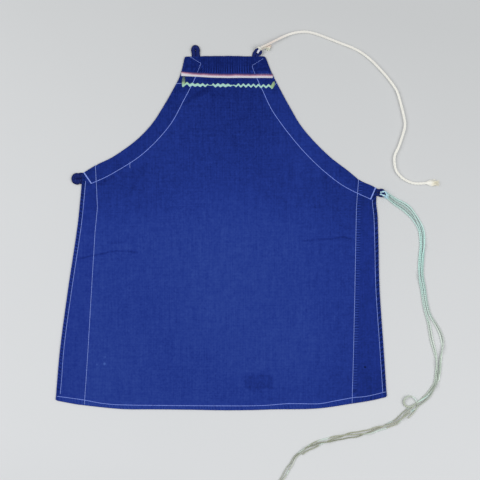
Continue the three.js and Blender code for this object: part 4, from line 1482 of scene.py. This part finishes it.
# Thickness of the hitch, lengths of a twist, and how close the points of the strands and of the hitch are
HITCH_THICK = 3.4
HITCH_TWIST = 12
YARN_TWIST = 7.5
YARN_STEP = 0.9
HITCH_STEP = 0.8


def fullness(gone):
    """How much thicker a strand is at each distance along it."""
    return FULLER * bell(gone, FULL_AT, FULL_REACH)


def tie_strands():
    """Four yarns that run side by side, change lanes and end one after another."""
    centre = even_points(smooth_line(TIE_ROUTE), 1.0)
    gone = travelled(centre)
    run = heading(centre)
    left = np.column_stack([-run[:, 1], run[:, 0]])
    centre = centre + (TIE_STRAY * wander(gone * 1.6, seed=3) * step(gone, *STRAY_FROM))[:, None] * left
    width = np.interp(gone, *LANES.T) * (1 + LANE_CHANGE * wander(gone, seed=2.4))
    count = len(STRAND_ENDS)
    holders = list(range(count))
    lanes = np.repeat(np.arange(float(count))[:, None], len(gone), axis=1)
    rise = np.zeros((count, len(gone)))
    for at, lane in SWAPS:
        passed = step(gone, at - SWAP_REACH, at + SWAP_REACH)
        over, beneath = holders[lane], holders[lane + 1]
        lanes[over] += passed
        lanes[beneath] -= passed
        rise[over] += SWAP_HIGH * bell(gone, at, SWAP_HUMP * SWAP_REACH)
        holders[lane], holders[lane + 1] = beneath, over
    present = np.array([1 - step(gone, end - CLOSE_UP, end + CLOSE_UP) for end in STRAND_ENDS])
    middle = (present * lanes).sum(axis=0) / present.sum(axis=0)
    apart = SPLIT_WIDE * bell(gone, SPLIT_AT, SPLIT_REACH) + PAIR_GAP * (1 - step(gone, *PAIR_UNTIL))
    raised = MIDDLE_HIGH * (1 - step(gone, 0, MIDDLE_UNTIL))
    paths = []
    for strand, end in enumerate(STRAND_ENDS):
        aside = (middle - lanes[strand]) * width + apart * np.tanh((count - 1) - 2 * lanes[strand])
        height = TIE_YARN / 2 + CORD_CLEAR + rise[strand] + fullness(gone) / 2
        if 0 < strand < count - 1:
            height = height + raised
        paths.append(np.column_stack([centre + aside[:, None] * left, height])[gone < end])
    return paths


def curled_strand(straight):
    """The first strand with its curl, and its thickness at each place."""
    curl = [(x, y, TIE_YARN / 2 + CORD_CLEAR) for x, y in CURL]
    ring = smooth_line([tuple(straight[-1]), *curl])
    gone = travelled(ring)
    thicker = between(gone, *CURL_THICK_BAND)
    ring[:, 2] += (CURL_THICK - TIE_YARN) / 2 * thicker + CURL_OVER * between(gone, *CURL_OVER_BAND)
    thick = np.concatenate([np.full(len(straight) - 1, TIE_YARN), mix(TIE_YARN, CURL_THICK, thicker)])
    return np.vstack([straight[:-1], ring]), thick


def waist_hitch():
    """The yarn's turns on the right waist loop."""
    loop = LOOPS["waist_loop_right"]

    def bent(along, aside, z, sign):
        bend = HITCH_BEND * max(along - HITCH_BEND_FROM, 0)
        return (*in_loop(loop, along, HITCH_LOW + sign * aside - bend), z)

    turn = [bent(*row, 1) for row in [*HITCH, HITCH_BAR]] + [bent(*row, -1) for row in HITCH[::-1]]
    tied = plied(even_points(smooth_line(turn, 8), HITCH_STEP), 2, HITCH_THICK, HITCH_TWIST, turn=0.4)
    return strand_piece("waist_tie_knot", tied, 8, loop_yarn, "yarn", "waist_tie_hitch")


def waist_tie():
    paths = tie_strands()
    paths[0], curl_thick = curled_strand(paths[0])
    knot = waist_hitch()
    for number, (path, colour) in enumerate(zip(paths, tie_yarns), 1):
        rough = travelled(path)
        path = even_points(path, YARN_STEP)
        gone = travelled(path)
        thick = np.interp(gone, rough, curl_thick) if number == 1 else TIE_YARN
        name = f"waist_tie_strand_{number}"
        lines = plied(path, 2, thick + fullness(gone), YARN_TWIST, turn=number)
        strand = strand_piece(name, lines, 6, colour, "yarn", *(["waist_tie"] if number == 1 else []))


# Floor, light and camera

VIEW_CENTRE = (37.5, -25.0)
VIEW_WIDTH = 960.0
LENS = 85.0
SENSOR = 36.0
# Lamps: name, place in metres and power in watts, all of one size and aimed at one place in metres
LAMPS = [("left softbox", (-1.7, 0.5, 1.9), 33), ("right softbox", (1.8, -0.3, 1.9), 28.5)]
LAMP_SIZE = 1.8
LAMP_AIM = Vector((0.03, -0.02, 0))
WORLD_LIGHT = 0.43
# Floor: half size and drop in metres, its painted shade towards the top and painted light towards the bottom,
# and how far that slants
FLOOR_HALF = 3
FLOOR_DROP = 0.0002
FLOOR_COLOURS = [(0, (200, 202, 203)), (1, (221, 223, 225))]
FLOOR_SHADE = (0.5, -0.5)
FLOOR_SLANT = 0.2


def camera():
    data = bpy.data.cameras.new("camera")
    data.lens = LENS
    data.sensor_width = SENSOR
    eye = bpy.data.objects.new("camera", data)
    eye.location = (VIEW_CENTRE[0] * MM, VIEW_CENTRE[1] * MM, VIEW_WIDTH * MM * LENS / SENSOR)
    scene.collection.objects.link(eye)
    scene.camera = eye


def light():
    for name, place, power in LAMPS:
        data = bpy.data.lights.new(name, "AREA")
        data.size = LAMP_SIZE
        data.energy = power
        lamp = bpy.data.objects.new(name, data)
        lamp.location = place
        lamp.rotation_euler = (LAMP_AIM - Vector(place)).to_track_quat("-Z", "Y").to_euler()
        scene.collection.objects.link(lamp)
    scene.world = bpy.data.worlds.new("studio")
    scene.world.use_nodes = True
    sky = scene.world.node_tree.nodes["Background"].inputs
    sky["Color"].default_value = (1, 1, 1, 1)
    sky["Strength"].default_value = WORLD_LIGHT


def floor():
    bm = bmesh.new()
    bmesh.ops.create_grid(bm, x_segments=2, y_segments=2, size=FLOOR_HALF)
    bmesh.ops.translate(bm, verts=bm.verts, vec=(0, 0, -FLOOR_DROP))
    mesh = bpy.data.meshes.new("floor")
    bm.to_mesh(mesh)
    bm.free()
    material, tree, shader, place = blank("pale floor", 0.9)
    # Painted shade darkens the floor towards the top and painted light brightens it towards the bottom
    sides = parted(tree, scaled(tree, place, (FLOOR_SLANT, 1, 1)))
    shade = ranged(tree, sums(tree, sides["X"], sides["Y"]), *FLOOR_SHADE)
    coloured(tree, shader, mottled(tree, shade, place, FLOOR_PATCHES), FLOOR_COLOURS)
    mesh.materials.append(material)
    ground = bpy.data.objects.new("floor", mesh)
    scene.collection.objects.link(ground)


camera()
floor()
light()

neck_cord()
waist_tie()
panel = middle_panel()
side_panels = {side: side_panel(side) for side in SIDES}
facings = {side: armhole_facing(side) for side in SIDES}
neck_band = neck_facing()
tape = neck_tape()
braid = zigzag_braid()
braid_ends = [
    braid_end("braid_left_end", LEFT_BRAID_END),
    braid_end("braid_right_end", RIGHT_BRAID_END),
]
for loop_name in LOOPS:
    cloth_loop(loop_name)

fine_rows = seam_stitches() + hem_stitches()
heavy_rows = [stretch(bottom_stitch, *BOTTOM_ROW, axis=0), *facing_stitches()]
neck_rows = neck_stitches()
waist_rows = waist_ends()
trim_rows = [np.array(row, float) for row in TRIM_ROWS]
threads = sewn(fine_rows + trim_rows, FINE_THREAD) + sewn(waist_rows, WAIST_THREAD)
fine_thread = strand_piece("fine_stitching", threads, 6, pale_thread, "cotton_cord")
threads = sewn(heavy_rows, HEAVY_THREAD) + sewn(neck_rows, NECK_THREAD) + [loose_end()]
heavy_thread = strand_piece("heavy_stitching", threads, 6, blue_thread, "cotton_cord")
threads = sewn(fine_rows + heavy_rows + neck_rows + waist_rows, UNDER_THREAD, under=True)
under_thread = strand_piece("under_stitching", threads, 6, blue_thread, "cotton_cord")
